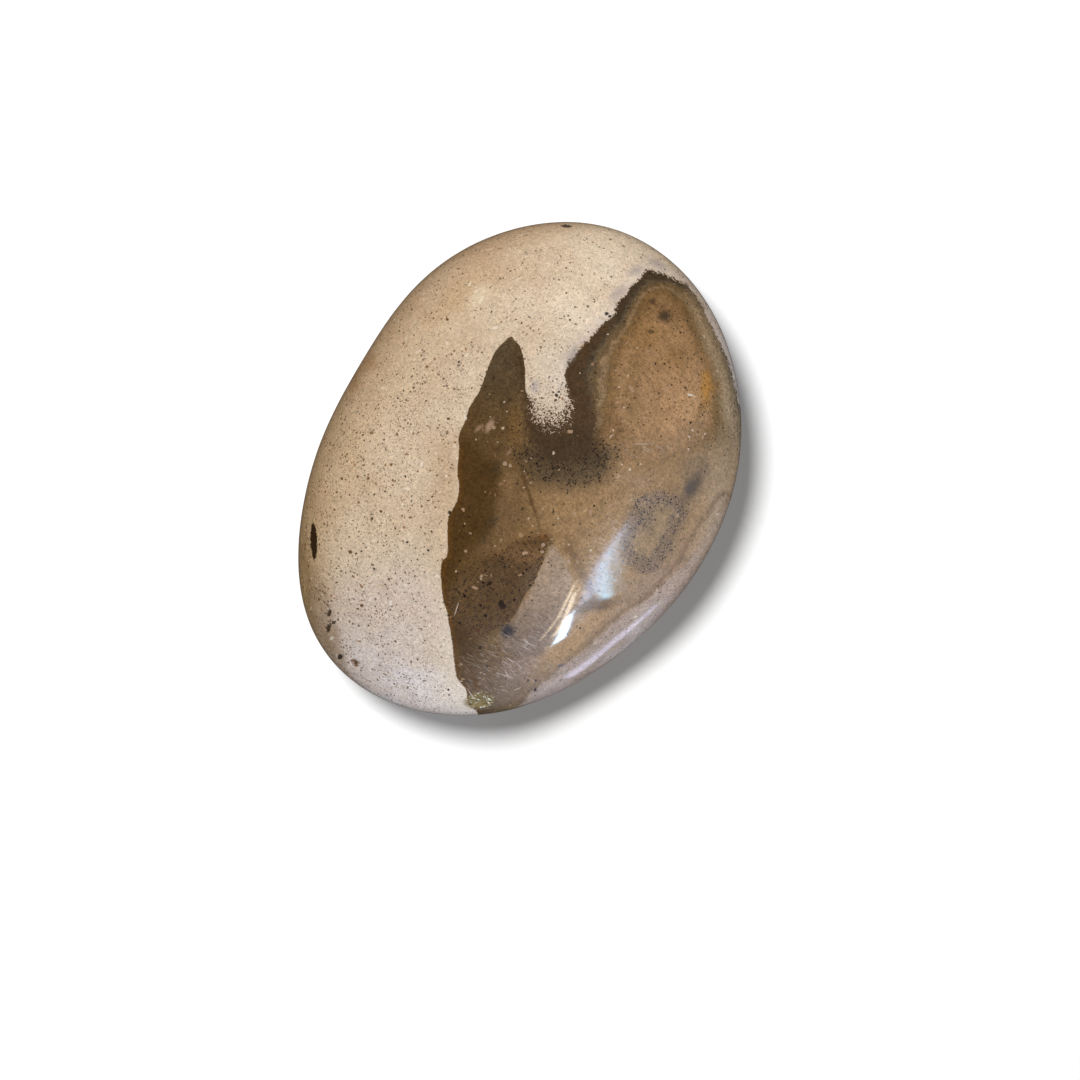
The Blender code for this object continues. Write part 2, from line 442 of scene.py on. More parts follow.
def stoneTree(inputs):
    tree, given, out = openGroup("palmStoneForm", "GeometryNodeTree", inputs, {"Geometry": "Geometry"})
    position = addNode(tree, "GeometryNodeInputPosition").outputs[0]
    cube = addNode(tree, "GeometryNodeMeshCube", {"Size": (2, 2, 2)})
    for axis in "XYZ":
        feed(cube.inputs["Vertices " + axis], calc(tree, "ADD", given["Faces " + axis], 1.0))
    skin = pebbleSkin(tree, given, position)
    shaped = addNode(tree, "GeometryNodeSetPosition", {0: cube.outputs[0], "Position": skin})
    geometry = rippleSkin(tree, given, shaped.outputs[0], position)
    broken = flawGroup()
    for flaw in stoneForm["flaws"]:
        inputs = {key: given[f"{flaw} {key}"] for key in ("Facing", "Radius", "Depth", "Ragged", "Stepped")}
        inputs.update({"Geometry": geometry, "Name": flaw, "Seed": given["Seed"]})
        geometry = placeGroup(tree, broken, inputs).outputs[0]
    geometry = fitToBox(tree, given, geometry, position)

    place = placeOnBoard(tree, given, position)
    geometry = store(tree, geometry, "drawnPlace", "FLOAT_VECTOR", place)
    drawnPlace = named(tree, "drawnPlace", "FLOAT_VECTOR")
    distance = outlineDistanceGroup()
    for outline in outlines:
        measured = placeGroup(tree, distance, {"Outline": given[outline + " Outline"], "Place": drawnPlace})
        geometry = store(tree, geometry, outline + "Edge", "FLOAT", measured.outputs[0])
    smooth = addNode(tree, "GeometryNodeSetShadeSmooth", {0: geometry})
    real = addNode(tree, "GeometryNodeRealizeInstances", {0: smooth.outputs[0]})
    finished = addNode(tree, "GeometryNodeSetMaterial", {0: real.outputs[0], "Material": given["Finish"]})
    feed(out["Geometry"], finished.outputs[0])
    return tree


def setInputs(modifier, values):
    for item in modifier.node_group.interface.items_tree:
        if item.item_type == "SOCKET" and item.in_out == "INPUT" and item.name in values:
            modifier[item.identifier] = values[item.name]


def shapeStone(stone, finish):
    low, high = (Vector(corner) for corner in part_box("jasper_stone"))
    drawn = {name: drawOutline(name, points) for name, points in outlines.items()}
    values = {
        "Size": high - low,
        "Crown": stoneForm["crown"],
        "Belly": stoneForm["belly"],
        "Fullness": stoneForm["fullness"],
        "Outline Radius": stoneForm["outlineRadius"],
        "Flat Sharpness": stoneForm["flatSharpness"],
        "Rest Spot Level": stoneForm["restSpotDepth"] - stoneForm["belly"],
        "Rest Spot Edge": stoneForm["restSpotEdge"],
        "Ripple Height": stoneForm["rippleHeight"],
        "Ripple Length": stoneForm["rippleLength"],
        "Seed": stoneForm["seed"],
        "Board Turn": radians(drawingBoard["turn"]),
        "Board Level": drawingBoard["level"],
        "Eye": (*drawingBoard["eye"], 0.0),
        "Eye Height": drawingBoard["eyeHeight"],
        "Underside Lean": (*drawingBoard["undersideLean"], 0.0),
        "Underside Drift": drawingBoard["undersideDrift"],
        "Finish": finish,
    }
    for axis, faces in zip("XYZ", stoneForm["faces"]):
        values["Faces " + axis] = faces
    for repeats, (height, top) in stoneForm["lobes"].items():
        values[f"Lobe {repeats} Height"] = height
        values[f"Lobe {repeats} Top"] = radians(top)
    for flat, (direction, tilt, distance) in stoneForm["flats"].items():
        values[flat + " Facing"] = facing(direction, 90 - tilt)
        values[flat + " Distance"] = distance
    for flaw, (direction, elevation, *measures) in stoneForm["flaws"].items():
        values[flaw + " Facing"] = facing(direction, elevation)
        for measure, number in zip(("Radius", "Depth", "Ragged", "Stepped"), measures):
            values[f"{flaw} {measure}"] = number
    for name, thing in drawn.items():
        values[name + " Outline"] = thing

    modifier = stone.modifiers.new("Palm stone form", "NODES")
    modifier.node_group = stoneTree(inputsFor(values))
    setInputs(modifier, values)
    return drawn


# The stone's finish. Colours are as a screen shows them, and lengths are in mm. A spot is written as:
# centre, half length, half width, turn in degrees, softness. A wash has a colour and a strength too.

creamRock = {
    "body": paint(213, 190, 165),
    "washes": [
        ((-20.6, 2.0), 12.5, 1.5, 68, 0.7, paint(208, 176, 132), 0.2),  # yellowish, along the left rim
        ((-22.8, -3.6), 5.0, 1.8, 82, 0.9, paint(230, 208, 184), 0.6),
        # painted shade: browner along the left rim, where the stone turns away from the light
        ((-24.2, -16.2), 7.5, 1.1, 108, 0.8, paint(150, 118, 84), 0.65),
        ((-21.5, -7.0), 5.0, 2.4, 85, 0.9, paint(226, 206, 188), 0.5),
        ((-6.8, 23.2), 4.0, 2.0, 38, 0.9, paint(192, 160, 126), 0.55),
        ((-10.4, -6.0), 11.0, 2.4, 86, 0.7, paint(198, 168, 134), 0.55),  # smooth, along the brown
        ((-13.6, -13.5), 5.5, 3.0, 80, 0.9, paint(200, 178, 156), 0.5),
        # painted sheen: paler and more lavender towards the near end, the window's bluish light mirrored in
        # the polish
        ((-19.0, -18.0), 7.0, 6.0, 30, 0.9, paint(214, 194, 182), 0.6),
        ((-15.5, -24.5), 5.0, 3.2, -30, 0.9, paint(226, 212, 206), 0.7),
        ((-7.0, 22.0), 3.6, 1.7, 40, 0.8, paint(224, 200, 168), 0.25),
        ((-9.5, 20.5), 2.6, 1.0, 48, 0.8, paint(192, 160, 124), 0.4),
        ((-20.3, 11.5), 1.6, 0.8, 60, 0.8, paint(182, 146, 104), 0.6),
        ((-18.5, 13.8), 1.2, 0.7, 60, 0.8, paint(180, 144, 104), 0.6),
        ((4.2, 12.0), 5.5, 2.4, 80, 0.8, paint(216, 198, 178), 0.7),  # the bay
        ((11.5, 26.0), 7.5, 3.6, -35, 0.9, paint(232, 212, 190), 0.75),
        ((6.0, 20.3), 6.0, 2.4, -12, 0.9, paint(235, 214, 192), 0.65),
        ((13.0, 23.6), 3.4, 1.6, -40, 0.9, paint(236, 214, 192), 0.6),
        ((-9.2, 0.4), 4.2, 1.4, 88, 0.8, paint(184, 152, 118), 0.55),
        ((-17.3, 6.0), 4.5, 2.2, 85, 0.9, paint(228, 206, 184), 0.45),
        ((-20.2, -11.5), 3.0, 2.2, 80, 0.9, paint(228, 208, 190), 0.5),
        # painted shade along the left rim
        ((-23.1, -20.2), 3.0, 1.0, 115, 0.8, paint(150, 116, 78), 0.5),
        # painted shade: darker along the far rim, where the stone turns away from the light
        ((-3.0, 28.6), 9.0, 1.2, 14, 0.8, paint(190, 160, 130), 0.4),
    ],
    "cloud": paint(196, 164, 134),
    "cloudAmount": 0.3,
}

brownRock = {
    "acrossTones": [  # from the near lobe's left edge to the stone's right edge: u, colour
        (-9.0, paint(90, 64, 36)), (-4.0, paint(100, 74, 43)), (-0.5, paint(126, 96, 61)),
        (5.0, paint(144, 111, 75)), (11.0, paint(147, 113, 76)), (18.0, paint(134, 101, 65)),
        (25.0, paint(154, 122, 88)),
    ],
    "washes": [
        ((-2.1, 13.0), 6.5, 3.0, 75, 0.5, paint(86, 69, 48), 1.0),  # the spike
        ((-3.8, 5.0), 6.0, 3.0, 80, 0.7, paint(90, 66, 40), 0.8),
        ((-0.3, 3.2), 5.0, 0.9, 95, 0.6, paint(110, 80, 46), 0.8),  # beside the hook
        ((-1.6, -4.5), 4.5, 2.4, 70, 0.7, paint(114, 86, 57), 0.8),
        ((-4.2, -5.6), 2.2, 0.6, 75, 0.7, paint(62, 56, 42), 0.7),
        ((-3.6, 0.9), 1.4, 0.9, 30, 0.7, paint(56, 46, 32), 0.7),
        ((-6.8, -20.0), 8.5, 1.8, 103, 0.6, paint(68, 46, 20), 0.85),
        ((0.2, -8.4), 3.5, 1.3, 20, 0.8, paint(134, 98, 60), 0.6),
        ((-1.0, -24.0), 5.5, 3.6, 20, 0.8, paint(106, 83, 64), 0.8),
        ((3.2, -24.0), 3.0, 1.4, 35, 0.8, paint(134, 104, 76), 0.7),
        ((0.4, -23.2), 2.4, 1.1, 20, 0.8, paint(132, 105, 84), 0.7),
        # painted light: paler along the right rim, where the window's light falls
        ((23.6, -4.4), 3.2, 1.3, 70, 0.8, paint(152, 124, 96), 0.7),
        ((8.6, 1.0), 2.0, 2.0, 0, 0.8, paint(100, 78, 54), 0.6),  # the skirt's right
        ((15.2, -14.5), 8.0, 2.4, 45, 0.9, paint(144, 114, 88), 0.8),
        ((6.6, -19.3), 6.0, 1.3, 43, 0.6, paint(158, 119, 78), 0.85),  # above the bevel
        ((9.3, -15.4), 2.8, 0.9, 8, 0.6, paint(96, 70, 46), 0.85),
        ((21.0, -0.2), 3.0, 1.6, 60, 0.8, paint(112, 88, 64), 0.7),
        ((20.6, -1.3), 1.9, 1.0, 65, 0.7, paint(80, 62, 46), 0.8),
        ((6.3, -9.8), 3.6, 0.6, 110, 0.6, paint(106, 78, 52), 0.7),  # right of the painted reflection
        ((13.4, 0.0), 2.4, 1.2, 0, 0.8, paint(146, 114, 84), 0.6),
        ((14.8, -2.9), 1.9, 0.8, 0, 0.8, paint(152, 122, 94), 0.6),
        # painted light along the right rim
        ((24.5, 3.0), 7.0, 1.0, 78, 0.7, paint(138, 112, 82), 0.6),
        ((4.2, 0.2), 4.0, 1.6, -8, 0.8, paint(90, 70, 50), 0.6),
    ],
    "lobeBands": [  # from the far lobe's edge in to its middle: place, colour
        (0.0, paint(70, 54, 38)), (0.32, paint(74, 58, 41)), (0.44, paint(86, 73, 56)),
        (0.56, paint(102, 81, 56)), (0.68, paint(108, 84, 56)), (0.78, paint(134, 108, 78)),
        (0.87, paint(130, 103, 72)), (0.94, paint(112, 86, 56)), (1.0, paint(115, 87, 55)),
    ],
    "lobePaintedLight": [
        ((23.8, 12.6), 9.0, 1.1, 108, 0.8, paint(172, 144, 110), 0.6),  # its right side, painted light: paler where the window's light falls on the rim
    ],
    "heartEdge": paint(124, 92, 57),
    "heart": paint(151, 114, 78),
    "heartWashes": [
        ((18.3, 8.4), 4.4, 2.0, 80, 0.8, paint(168, 126, 88), 0.75),
        ((20.6, 6.2), 1.6, 0.9, 60, 0.6, paint(158, 120, 88), 0.6),
        ((17.5, 3.6), 3.0, 1.4, 60, 0.8, paint(148, 112, 78), 0.6),
        ((14.2, 20.6), 2.2, 1.6, 40, 0.7, paint(122, 90, 54), 0.6),
        ((14.6, 17.0), 1.6, 1.4, 20, 0.7, paint(142, 104, 58), 0.5),
        ((20.8, 8.4), 3.0, 1.5, 75, 0.8, paint(172, 130, 90), 0.65),
        ((13.4, 11.6), 5.0, 0.9, 84, 0.8, paint(126, 94, 58), 0.6),
        ((18.6, 14.4), 1.8, 1.0, 30, 0.8, paint(134, 98, 60), 0.5),
        ((22.9, 11.2), 2.0, 1.0, 72, 0.6, paint(168, 116, 54), 0.9),  # orange
        ((21.6, 8.6), 1.8, 0.5, 60, 0.7, paint(128, 92, 52), 0.6),
        ((20.8, 5.6), 1.8, 1.2, 60, 0.8, paint(126, 95, 64), 0.65),
        ((14.6, 3.2), 2.2, 1.4, 0, 0.8, paint(132, 98, 64), 0.5),
        ((17.6, 20.4), 1.6, 1.2, 0, 0.8, paint(116, 86, 54), 0.65),
        ((11.2, 6.4), 3.6, 0.8, 95, 0.7, paint(112, 82, 50), 0.7),
    ],
    "leaf": paint(88, 63, 38),
    "leafWashes": [
        ((-7.0, -13.0), 3.0, 1.4, 60, 0.8, paint(100, 74, 46), 0.7),
        ((-3.4, -12.0), 3.0, 1.4, 40, 0.8, paint(88, 66, 46), 0.6),
        ((0.2, -9.3), 3.2, 1.0, -15, 0.8, paint(126, 92, 60), 0.6),
        ((1.2, -12.5), 2.2, 1.2, 60, 0.7, paint(96, 74, 54), 0.7),
        ((2.4, -7.4), 0.8, 0.5, 60, 0.7, paint(112, 72, 36), 0.7),  # the leaf's tip
    ],
    # the bevel band: partly the rock's tone, partly painted sheen of the window's light
    "bevel": paint(158, 131, 108),
    "bevelWashes": [
        # the first three are painted highlights, a pale line of light along the bevel; the last makes it
        # browner to the right
        ((15.0, -17.0), 3.5, 0.7, 42, 0.8, paint(164, 142, 124), 0.6),
        ((3.4, -25.8), 3.2, 0.9, 32, 0.8, paint(180, 154, 136), 0.65),
        ((12.4, -20.9), 4.0, 0.8, 42, 0.8, paint(184, 162, 144), 0.75),
        ((20.0, -12.5), 3.0, 0.7, 52, 0.8, paint(140, 110, 86), 0.5),
    ],
    "hook": paint(68, 51, 34),
    "hookMottle": paint(80, 58, 37),
    "skirt": paint(78, 64, 46),
    "olive": paint(72, 49, 22),
    # painted reflection of the window's light in the polish: pale greyish, darker at its foot
    "veil": paint(152, 125, 100),
    "paintedReflectionFoot": paint(114, 92, 74),
    "ringInside": paint(138, 110, 78),
    "edgeLine": paint(92, 60, 24),
    "bevelLine": paint(110, 80, 54),
}

# Grains that lie all through the rock: spacing, smallest and largest radius, and for the cream and the
# brown in turn their share, their darkest and palest colour, and how strongly they show.
grains = {
    "coarse": (0.42, 0.045, 0.14, (0.75, paint(44, 32, 25), paint(124, 90, 62), 0.9),
               (0.5, paint(22, 14, 9), paint(64, 46, 29), 0.8)),
    "soot": (0.27, 0.055, 0.14, (0.0, paint(48, 40, 40), paint(112, 100, 98), 0.85),
             (0.0, paint(14, 11, 11), paint(52, 42, 35), 0.9)),
}

# Flecks that the skin cuts here and there: spacing, smallest and largest radius, stretch; their share in
# the cream's left, in the rest of the cream and in the brown; darkest and palest colour in each rock.
flecks = {
    "rustFlecks": (1.25, 0.06, 0.18, 1.5, (0.5, 0.12, 0.06), (paint(96, 56, 22), paint(150, 100, 54)),
                   (paint(150, 122, 90), paint(206, 184, 156))),
    "darkFlecks": (0.95, 0.05, 0.13, 1.7, (0.45, 0.2, 0.3), (paint(48, 38, 34), paint(100, 92, 96)),
                   (paint(34, 27, 22), paint(60, 46, 34))),
    "paleFlecks": (1.05, 0.06, 0.20, 2.4, (0.4, 0.4, 0.15), (paint(220, 200, 176), paint(234, 218, 200)),
                   (paint(136, 102, 70), paint(176, 142, 112))),
}

# Marks that are each in a place of their own: a dot is its centre and radius, and a patch is its centre,
# half length, half width, turn and colour.
dots = {
    "rust": (paint(100, 60, 22), [
        (-15.9, 1.5, 0.17), (-21.9, -0.2, 0.2), (-18.7, 0.3, 0.14), (-15.7, -0.4, 0.15), (-15.2, 5.2, 0.15),
        (-22.5, -1.8, 0.14), (-19.3, 1.4, 0.13), (-17.1, -4.2, 0.14), (-20.9, -9.1, 0.22),
        (-22.8, -4.0, 0.12),
        (-22.5, -12.8, 0.14), (-19.5, -15.6, 0.22), (-18.7, -18.0, 0.15), (-9.1, 19.1, 0.15),
        (-16.0, -5.2, 0.13), (-16.2, -12.4, 0.14), (-13.6, -4.9, 0.12), (-22.0, -11.4, 0.13),
    ]),
    "black": (paint(18, 12, 9), [
        (16.1, 13.7, 0.14), (14.7, 12.6, 0.1), (15.8, 12.6, 0.1), (17.2, 13.7, 0.12), (20.8, 14.9, 0.1),
        (21.8, 7.5, 0.12), (20.4, 6.6, 0.14), (14.0, 6.6, 0.09), (14.7, 6.3, 0.12), (13.4, 5.7, 0.09),
        (16.8, 4.9, 0.12), (8.7, -3.5, 0.16), (3.7, -4.0, 0.12), (-7.6, -10.2, 0.14), (-4.5, -11.4, 0.14),
        (-7.0, -11.5, 0.12), (-4.8, -12.8, 0.18), (0.5, -11.2, 0.14), (0.3, -10.4, 0.12),
        (0.9, -10.9, 0.12),
        (0.1, -11.7, 0.16), (-1.1, -13.2, 0.14), (-7.0, -14.4, 0.18), (-8.5, -14.7, 0.12),
        (-5.1, -15.6, 0.18), (-1.0, -14.9, 0.2), (-4.5, -16.8, 0.18), (-7.6, -17.7, 0.18),
        (-5.9, -18.2, 0.16), (-6.4, -18.9, 0.12), (-5.1, -20.7, 0.16), (-4.3, -22.9, 0.14),
        (4.3, -15.7, 0.1), (3.2, -17.9, 0.1), (1.6, -24.7, 0.16), (1.5, -25.8, 0.2), (7.0, -18.3, 0.14),
        (0.7, -24.7, 0.16), (5.9, -21.0, 0.12), (4.1, 9.9, 0.2), (4.4, 10.3, 0.16), (3.7, 10.3, 0.15),
        (4.5, 9.6, 0.14), (4.0, 9.3, 0.12), (10.2, 19.8, 0.24), (10.6, 19.5, 0.18), (-8.8, -4.3, 0.22),
        (-8.9, -4.8, 0.14), (-9.0, -16.8, 0.16), (-9.0, -25.8, 0.16), (-22.1, -21.8, 0.3),
        (-7.7, 14.0, 0.12),
        (-11.0, -6.6, 0.14), (-11.4, -8.9, 0.14), (-18.2, -5.0, 0.16), (-14.2, 0.1, 0.12),
        (-20.2, -9.3, 0.14), (-19.5, -9.0, 0.12), (-14.0, -7.9, 0.14), (-13.0, -8.6, 0.12),
        (-18.0, -11.1, 0.16),
    ]),
    "pale": (paint(192, 166, 138), [
        (-14.8, 0.6, 0.17), (-17.3, -13.1, 0.13), (-22.6, -7.6, 0.14), (-22.4, -8.4, 0.12),
        (-15.5, 5.5, 0.11), (-18.6, 5.6, 0.13), (8.7, 24.6, 0.17), (-10.9, -14.0, 0.14),
        (-16.4, -15.5, 0.12), (-17.0, -8.0, 0.12),
        (-2.2, 9.1, 0.14), (-2.4, 5.9, 0.17), (-1.9, 7.9, 0.1), (-3.9, 7.3, 0.09), (-1.6, 1.3, 0.11),
        (-2.3, 1.5, 0.1), (0.2, 0.7, 0.09), (1.0, -0.7, 0.1), (0.2, -1.3, 0.1), (-2.2, -0.4, 0.09),
        (-7.0, -5.7, 0.09), (0.7, -5.1, 0.09), (1.2, -5.9, 0.09), (4.3, -5.0, 0.11), (7.5, -4.2, 0.11),
        (7.0, 12.6, 0.1), (10.3, 17.3, 0.12), (11.0, 5.7, 0.13), (10.7, 4.9, 0.13), (11.7, 10.9, 0.13),
        (11.3, 12.9, 0.09), (13.9, 15.6, 0.1), (12.8, 12.3, 0.12), (12.3, 8.4, 0.13), (20.6, 5.7, 0.15),
        (20.2, 4.9, 0.14), (20.1, 3.4, 0.14), (12.0, 1.5, 0.12), (13.0, 0.9, 0.17), (5.6, -8.2, 0.12),
        (5.6, -10.2, 0.12), (14.3, 1.6, 0.12), (22.1, 5.2, 0.12), (23.6, -4.5, 0.12), (2.9, -11.1, 0.14),
    ]),
    "pink": (paint(160, 132, 108), [
        (2.5, -8.2, 0.2), (2.4, -9.1, 0.2), (3.6, -9.1, 0.22), (2.9, -11.1, 0.26), (5.6, -10.2, 0.22),
        (-2.1, 1.6, 0.26), (-1.5, 1.4, 0.2), (0.4, 1.9, 0.12), (-3.5, 6.0, 0.2), (-6.9, -9.0, 0.16),
    ]),
}

patches = [
    ((20.4, 9.9), 0.5, 0.12, -15, paint(206, 186, 160)),
    ((-23.4, -16.5), 0.42, 0.26, 70, paint(60, 44, 26)),
    ((-23.5, -18.3), 0.5, 0.28, 70, paint(58, 44, 28)),
    ((-22.9, -17.7), 0.35, 0.16, 40, paint(58, 44, 28)),
    ((-2.5, -15.5), 0.65, 0.34, 112, paint(30, 18, 10)),
    ((-3.8, -17.2), 0.3, 0.26, 0, paint(74, 48, 28)),
    ((-5.4, -18.6), 0.35, 0.26, 0, paint(78, 48, 26)),
    ((-4.0, -12.9), 0.36, 0.24, 20, paint(36, 24, 14)),
    ((15.6, 17.6), 0.36, 0.26, 0, paint(92, 72, 48)),
    ((5.3, 30.4), 0.6, 0.2, -4, paint(60, 50, 40)),
    ((-5.6, 22.5), 0.4, 0.12, 35, paint(240, 226, 204)),
    ((-5.0, 21.5), 0.45, 0.13, 62, paint(240, 226, 204)),
    ((-5.9, 21.2), 0.3, 0.1, 20, paint(236, 220, 196)),
    ((-4.7, 22.6), 0.35, 0.1, 70, paint(236, 220, 196)),
    ((-6.4, 23.4), 0.35, 0.12, 50, paint(236, 220, 196)),
    ((4.6, -22.9), 0.45, 0.18, 20, paint(92, 80, 76)),
]

marks = {
    "apart": 1.6,  # marks on one sheet are at least this far apart
    "edge": 0.03,  # how soft a mark's edge is
    "large": [  # washes
        ((-25.3, -7.8), 2.25, 0.38, 92, 0.1, paint(58, 42, 22), 1.0),  # a lens of brown near the rim
        ((-1.8, -18.7), 0.75, 0.7, 0, 0.7, paint(30, 30, 36), 0.9),
        ((17.2, 19.5), 0.75, 0.65, 0, 0.7, paint(58, 46, 34), 0.85),
        ((15.8, 21.3), 0.4, 0.35, 0, 0.7, paint(60, 46, 34), 0.7),
        ((20.3, -1.2), 0.85, 0.6, 65, 0.8, paint(66, 56, 50), 0.75),
        ((-5.6, -25.2), 2.0, 0.28, 108, 0.6, paint(84, 54, 22), 0.8),  # beside the chip
        ((0.9, -2.4), 4.0, 0.22, -72, 0.7, paint(76, 52, 28), 0.65),  # a vein
        ((8.2, -13.6), 1.9, 0.45, 110, 0.8, paint(100, 70, 42), 0.6),
        ((-4.0, 6.2), 0.8, 0.36, 62, 0.6, paint(172, 138, 112), 0.75),
        ((-5.3, 5.9), 0.6, 0.24, 38, 0.6, paint(154, 122, 94), 0.7),
        ((-1.7, 3.0), 0.45, 0.2, 60, 0.7, paint(146, 112, 82), 0.7),
        ((-5.2, 21.9), 1.3, 0.8, 55, 0.9, paint(234, 218, 194), 0.55),
        ((1.5, 11.0), 0.8, 0.45, 80, 0.8, paint(160, 148, 150), 0.55),
        ((11.6, 22.4), 0.9, 0.5, 40, 0.9, paint(150, 138, 140), 0.55),
        ((6.0, 14.8), 1.1, 0.4, 60, 0.9, paint(140, 128, 128), 0.5),
        ((13.6, 25.0), 0.8, 0.45, 20, 0.9, paint(150, 138, 140), 0.55),
        ((16.2, 25.9), 1.1, 0.4, -30, 0.9, paint(152, 140, 142), 0.55),
    ],
    "strength": 0.9,
    "fleckStrength": 0.8,
    "flawTonesAndGlints": {  # the rock within each flaw, by the fine noise; the palest stop is a painted glint, a highlight on the crystal faces
        "chip": [(0.36, paint(66, 46, 18)), (0.45, paint(126, 104, 58)), (0.6, paint(126, 104, 58)),
                 (0.66, paint(238, 230, 204))],
        "pit": [(0.38, paint(44, 32, 24)), (0.48, paint(120, 76, 30)), (0.58, paint(120, 76, 30)),
                (0.64, paint(236, 228, 220))],
    },
    "flawStrength": 0.9,
}

scratches = {
    # the scratches are painted paler than the rock: partly the scuffed polish's own whitish tone, partly
    # painted highlight where they catch the light
    "tone": paint(188, 166, 148),
    "hatches": ((44, 12), (20, 13)),  # for each way of rubbing, its turn and its seed
    "size": 0.15,
    "shorten": 0.11,  # the width of a scratch by its length
    "shown": (0.6, 0.72),
    "strength": 0.45,
    "areas": [  # spots where they show
        ((-1.6, -22.4), 5.2, 3.2, 20, 0.7),
        ((10.6, -8.6), 4.4, 2.2, 60, 0.8),
        ((2.2, -18.0), 2.6, 1.6, 40, 0.7),
        ((14.6, 3.4), 3.2, 1.0, 0, 0.7),
    ],
    "long": [  # centre, half length, half width, turn
        ((0.5, -20.0), 0.65, 0.05, -38), ((-1.9, -23.9), 0.5, 0.05, -63), ((-6.2, -26.4), 0.75, 0.05, -55),
        ((-4.4, -26.9), 0.6, 0.05, -66), ((-8.0, -16.0), 0.8, 0.06, 72), ((14.5, 4.0), 0.9, 0.04, 0),
        ((-1.5, -22.2), 0.5, 0.05, -33),
    ],
    "longSoftness": 0.5,
    "longStrength": 0.85,
}

polish = {
    "roughness": 0.085,
    "scratchedRoughness": 0.13,
    "bevelRoughness": 0.12,
    "chipRoughness": 0.22,
    "hazeRoughness": 0.3,
    "haze": 0.1,
    "glowHaze": 1.0,
    "glow": ((9.0, -10.4), 6.6, 3.2, 62, 0.6),  # the spot where the haze is thick
    "hatch": (0.4, 0.6, 0.4, 1.0),  # how the scratches thin it
    "waves": (0.9, 7, 1.0),  # length, seed, detail
    "waveHeight": 0.0018 * mm,
    "crest": ((10.0, -11.0), 4.6, 2.2, 60, 0.5),  # the spot where finer waves break up the streak of light
    "crestWaveHeight": 0.008 * mm,
    "hatchHeight": 0.0012 * mm,
}

painting = {
    "wanderSize": 3.0,  # how the washes' edges wander
    "wander": 3.2,
    "cloudSize": 5.0,
    "cloudy": (0.42, 0.68),  # the levels of the noise between which the cream's clouds come up
    "cloudShift": 8.0,  # how far the clouds shift the brown's tones
    "crowdSize": 1.9,
    "crowd": (0.36, 0.62, 0.3, 1.0),  # how thickly the grains lie
    "strip": {"edge": (-2.8, -1.0), "v": (6.0, 2.0), "crowd": 0.3},  # thinner beside the brown's left edge
    "farEnd": (18.0, 9.0, 0.55, 1.0),  # and towards the far end
    "left": (-11.0, -16.0),  # where the flecks lie as they do in the cream's left
    "washesFrom": (-6.0, -2.0),  # above the board: lower down, the brown has no washes
    "top": (-4.0, -1.0),  # and there are no single marks, no scratches and no haze
}

# The textures in the rock: length of a wave, seed, detail and, for the last, roughness.
texture = {
    "grit": (0.17, 10, 1.0),
    "fine": (0.4, 3, 2.0),
    "small": (1.2, 4, 3.0, 0.55),
    "bend": (0.32, 2, 1.0),  # pushes the edges of grains and washes about
    "bendGrains": 0.3,
    "bendWashes": 0.4,
    "shades": {  # how much each one lightens and darkens the cream and the brown
        "small": (0.15, 0.34),
        "fine": (0.31, 0.52),
        "grit": (0.33, 0.46),
    },
}

# Where each zone of the brown rock ends. Two numbers are where a fade starts and where it is full: along
# u or v, or how far inside an outline. With four numbers, the last two are what it goes from and to.
zones = {
    "lobe": {
        "u": (4.8, 6.8),
        "v": (1.0, 6.0),
        "crowding": (16.5, 21.0, 1.0, 0.36),  # the bands lie closer to the edge on the right
        "ragged": 0.35,
        "least": 0.01,  # keeps the depth of a band from being divided by nought
        "dottedEnd": (6.0, 9.0),
    },
    "heart": {"ragged": 2.4, "soft": 0.8, "v": (0.0, 6.0), "rim": (0.0, 1.6)},
    "skirt": {"ragged": 4.6, "reach": (-3.8, -0.6), "v": (5.0, 2.5), "hook": (1.6, 0.4), "strength": 0.75},
    "hook": {"ragged": 3.4, "soft": (7.0, 3.0, 0.8, 1.7), "mottle": (3.0, 8.0, 0.0, 0.6)},
    "olive": {"ragged": 3.2, "soft": 1.0, "strength": 0.8},
    "leaf": {"ragged": 0.7, "u": (-4.0, 0.0), "v": (-6.0, -11.0), "soft": (0.8, 0.12)},  # softer far away
    "veil": {"ragged": 1.6, "soft": 0.6, "besideLeaf": (0.12, -0.12), "foot": (-13.0, -19.0)},
    "edgeLine": {"brown": (0.9, 0.1), "u": (2.0, -2.0), "v": (7.0, 0.0), "strength": 0.8},
    "ringInside": {"ring": (-0.4, 0.8), "strength": 0.6},
    "bevelLine": {"outside": 0.35, "halfWidth": 0.5, "u": (4.0, 9.0), "strength": 0.55},
    "bevel": {
        "ragged": 0.7,
        "edge": (-0.2, 0.25),
        "narrowing": (-15.0, -8.0, 0.0, 0.9),
        "strength": (-6.0, -14.0, 0.35, 0.9),
    },
}

border = {
    "bayFloor": ((3.6, 6.9), 3.3, 2.7, -10, 0.7),  # a spot: centre, half length, half width, turn, softness
    "rightSide": {"u": (3.0, 6.0), "v": (8.0, 11.0)},
    "ragged": {  # by each noise: everywhere, and how much more on the bay's floor and on the right
        "fine": (0.3, 5.0, 0.8),
        "grit": (0.0, 11.0, 0.8),
    },
    "soft": 0.06,
}

smudge = {  # greyish specks in the cream, beside the brown
    "tone": paint(184, 172, 172),
    "brown": (-1.8, -0.2),
    "grit": (0.47, 0.6),
    "strength": 0.7,
}

pepper = {  # the finest grains
    "cream": paint(118, 88, 64),
    "brown": paint(58, 43, 30),
    "grit": (0.42, 0.33),
    "strength": 0.65,
    "inHeart": 0.4,
}

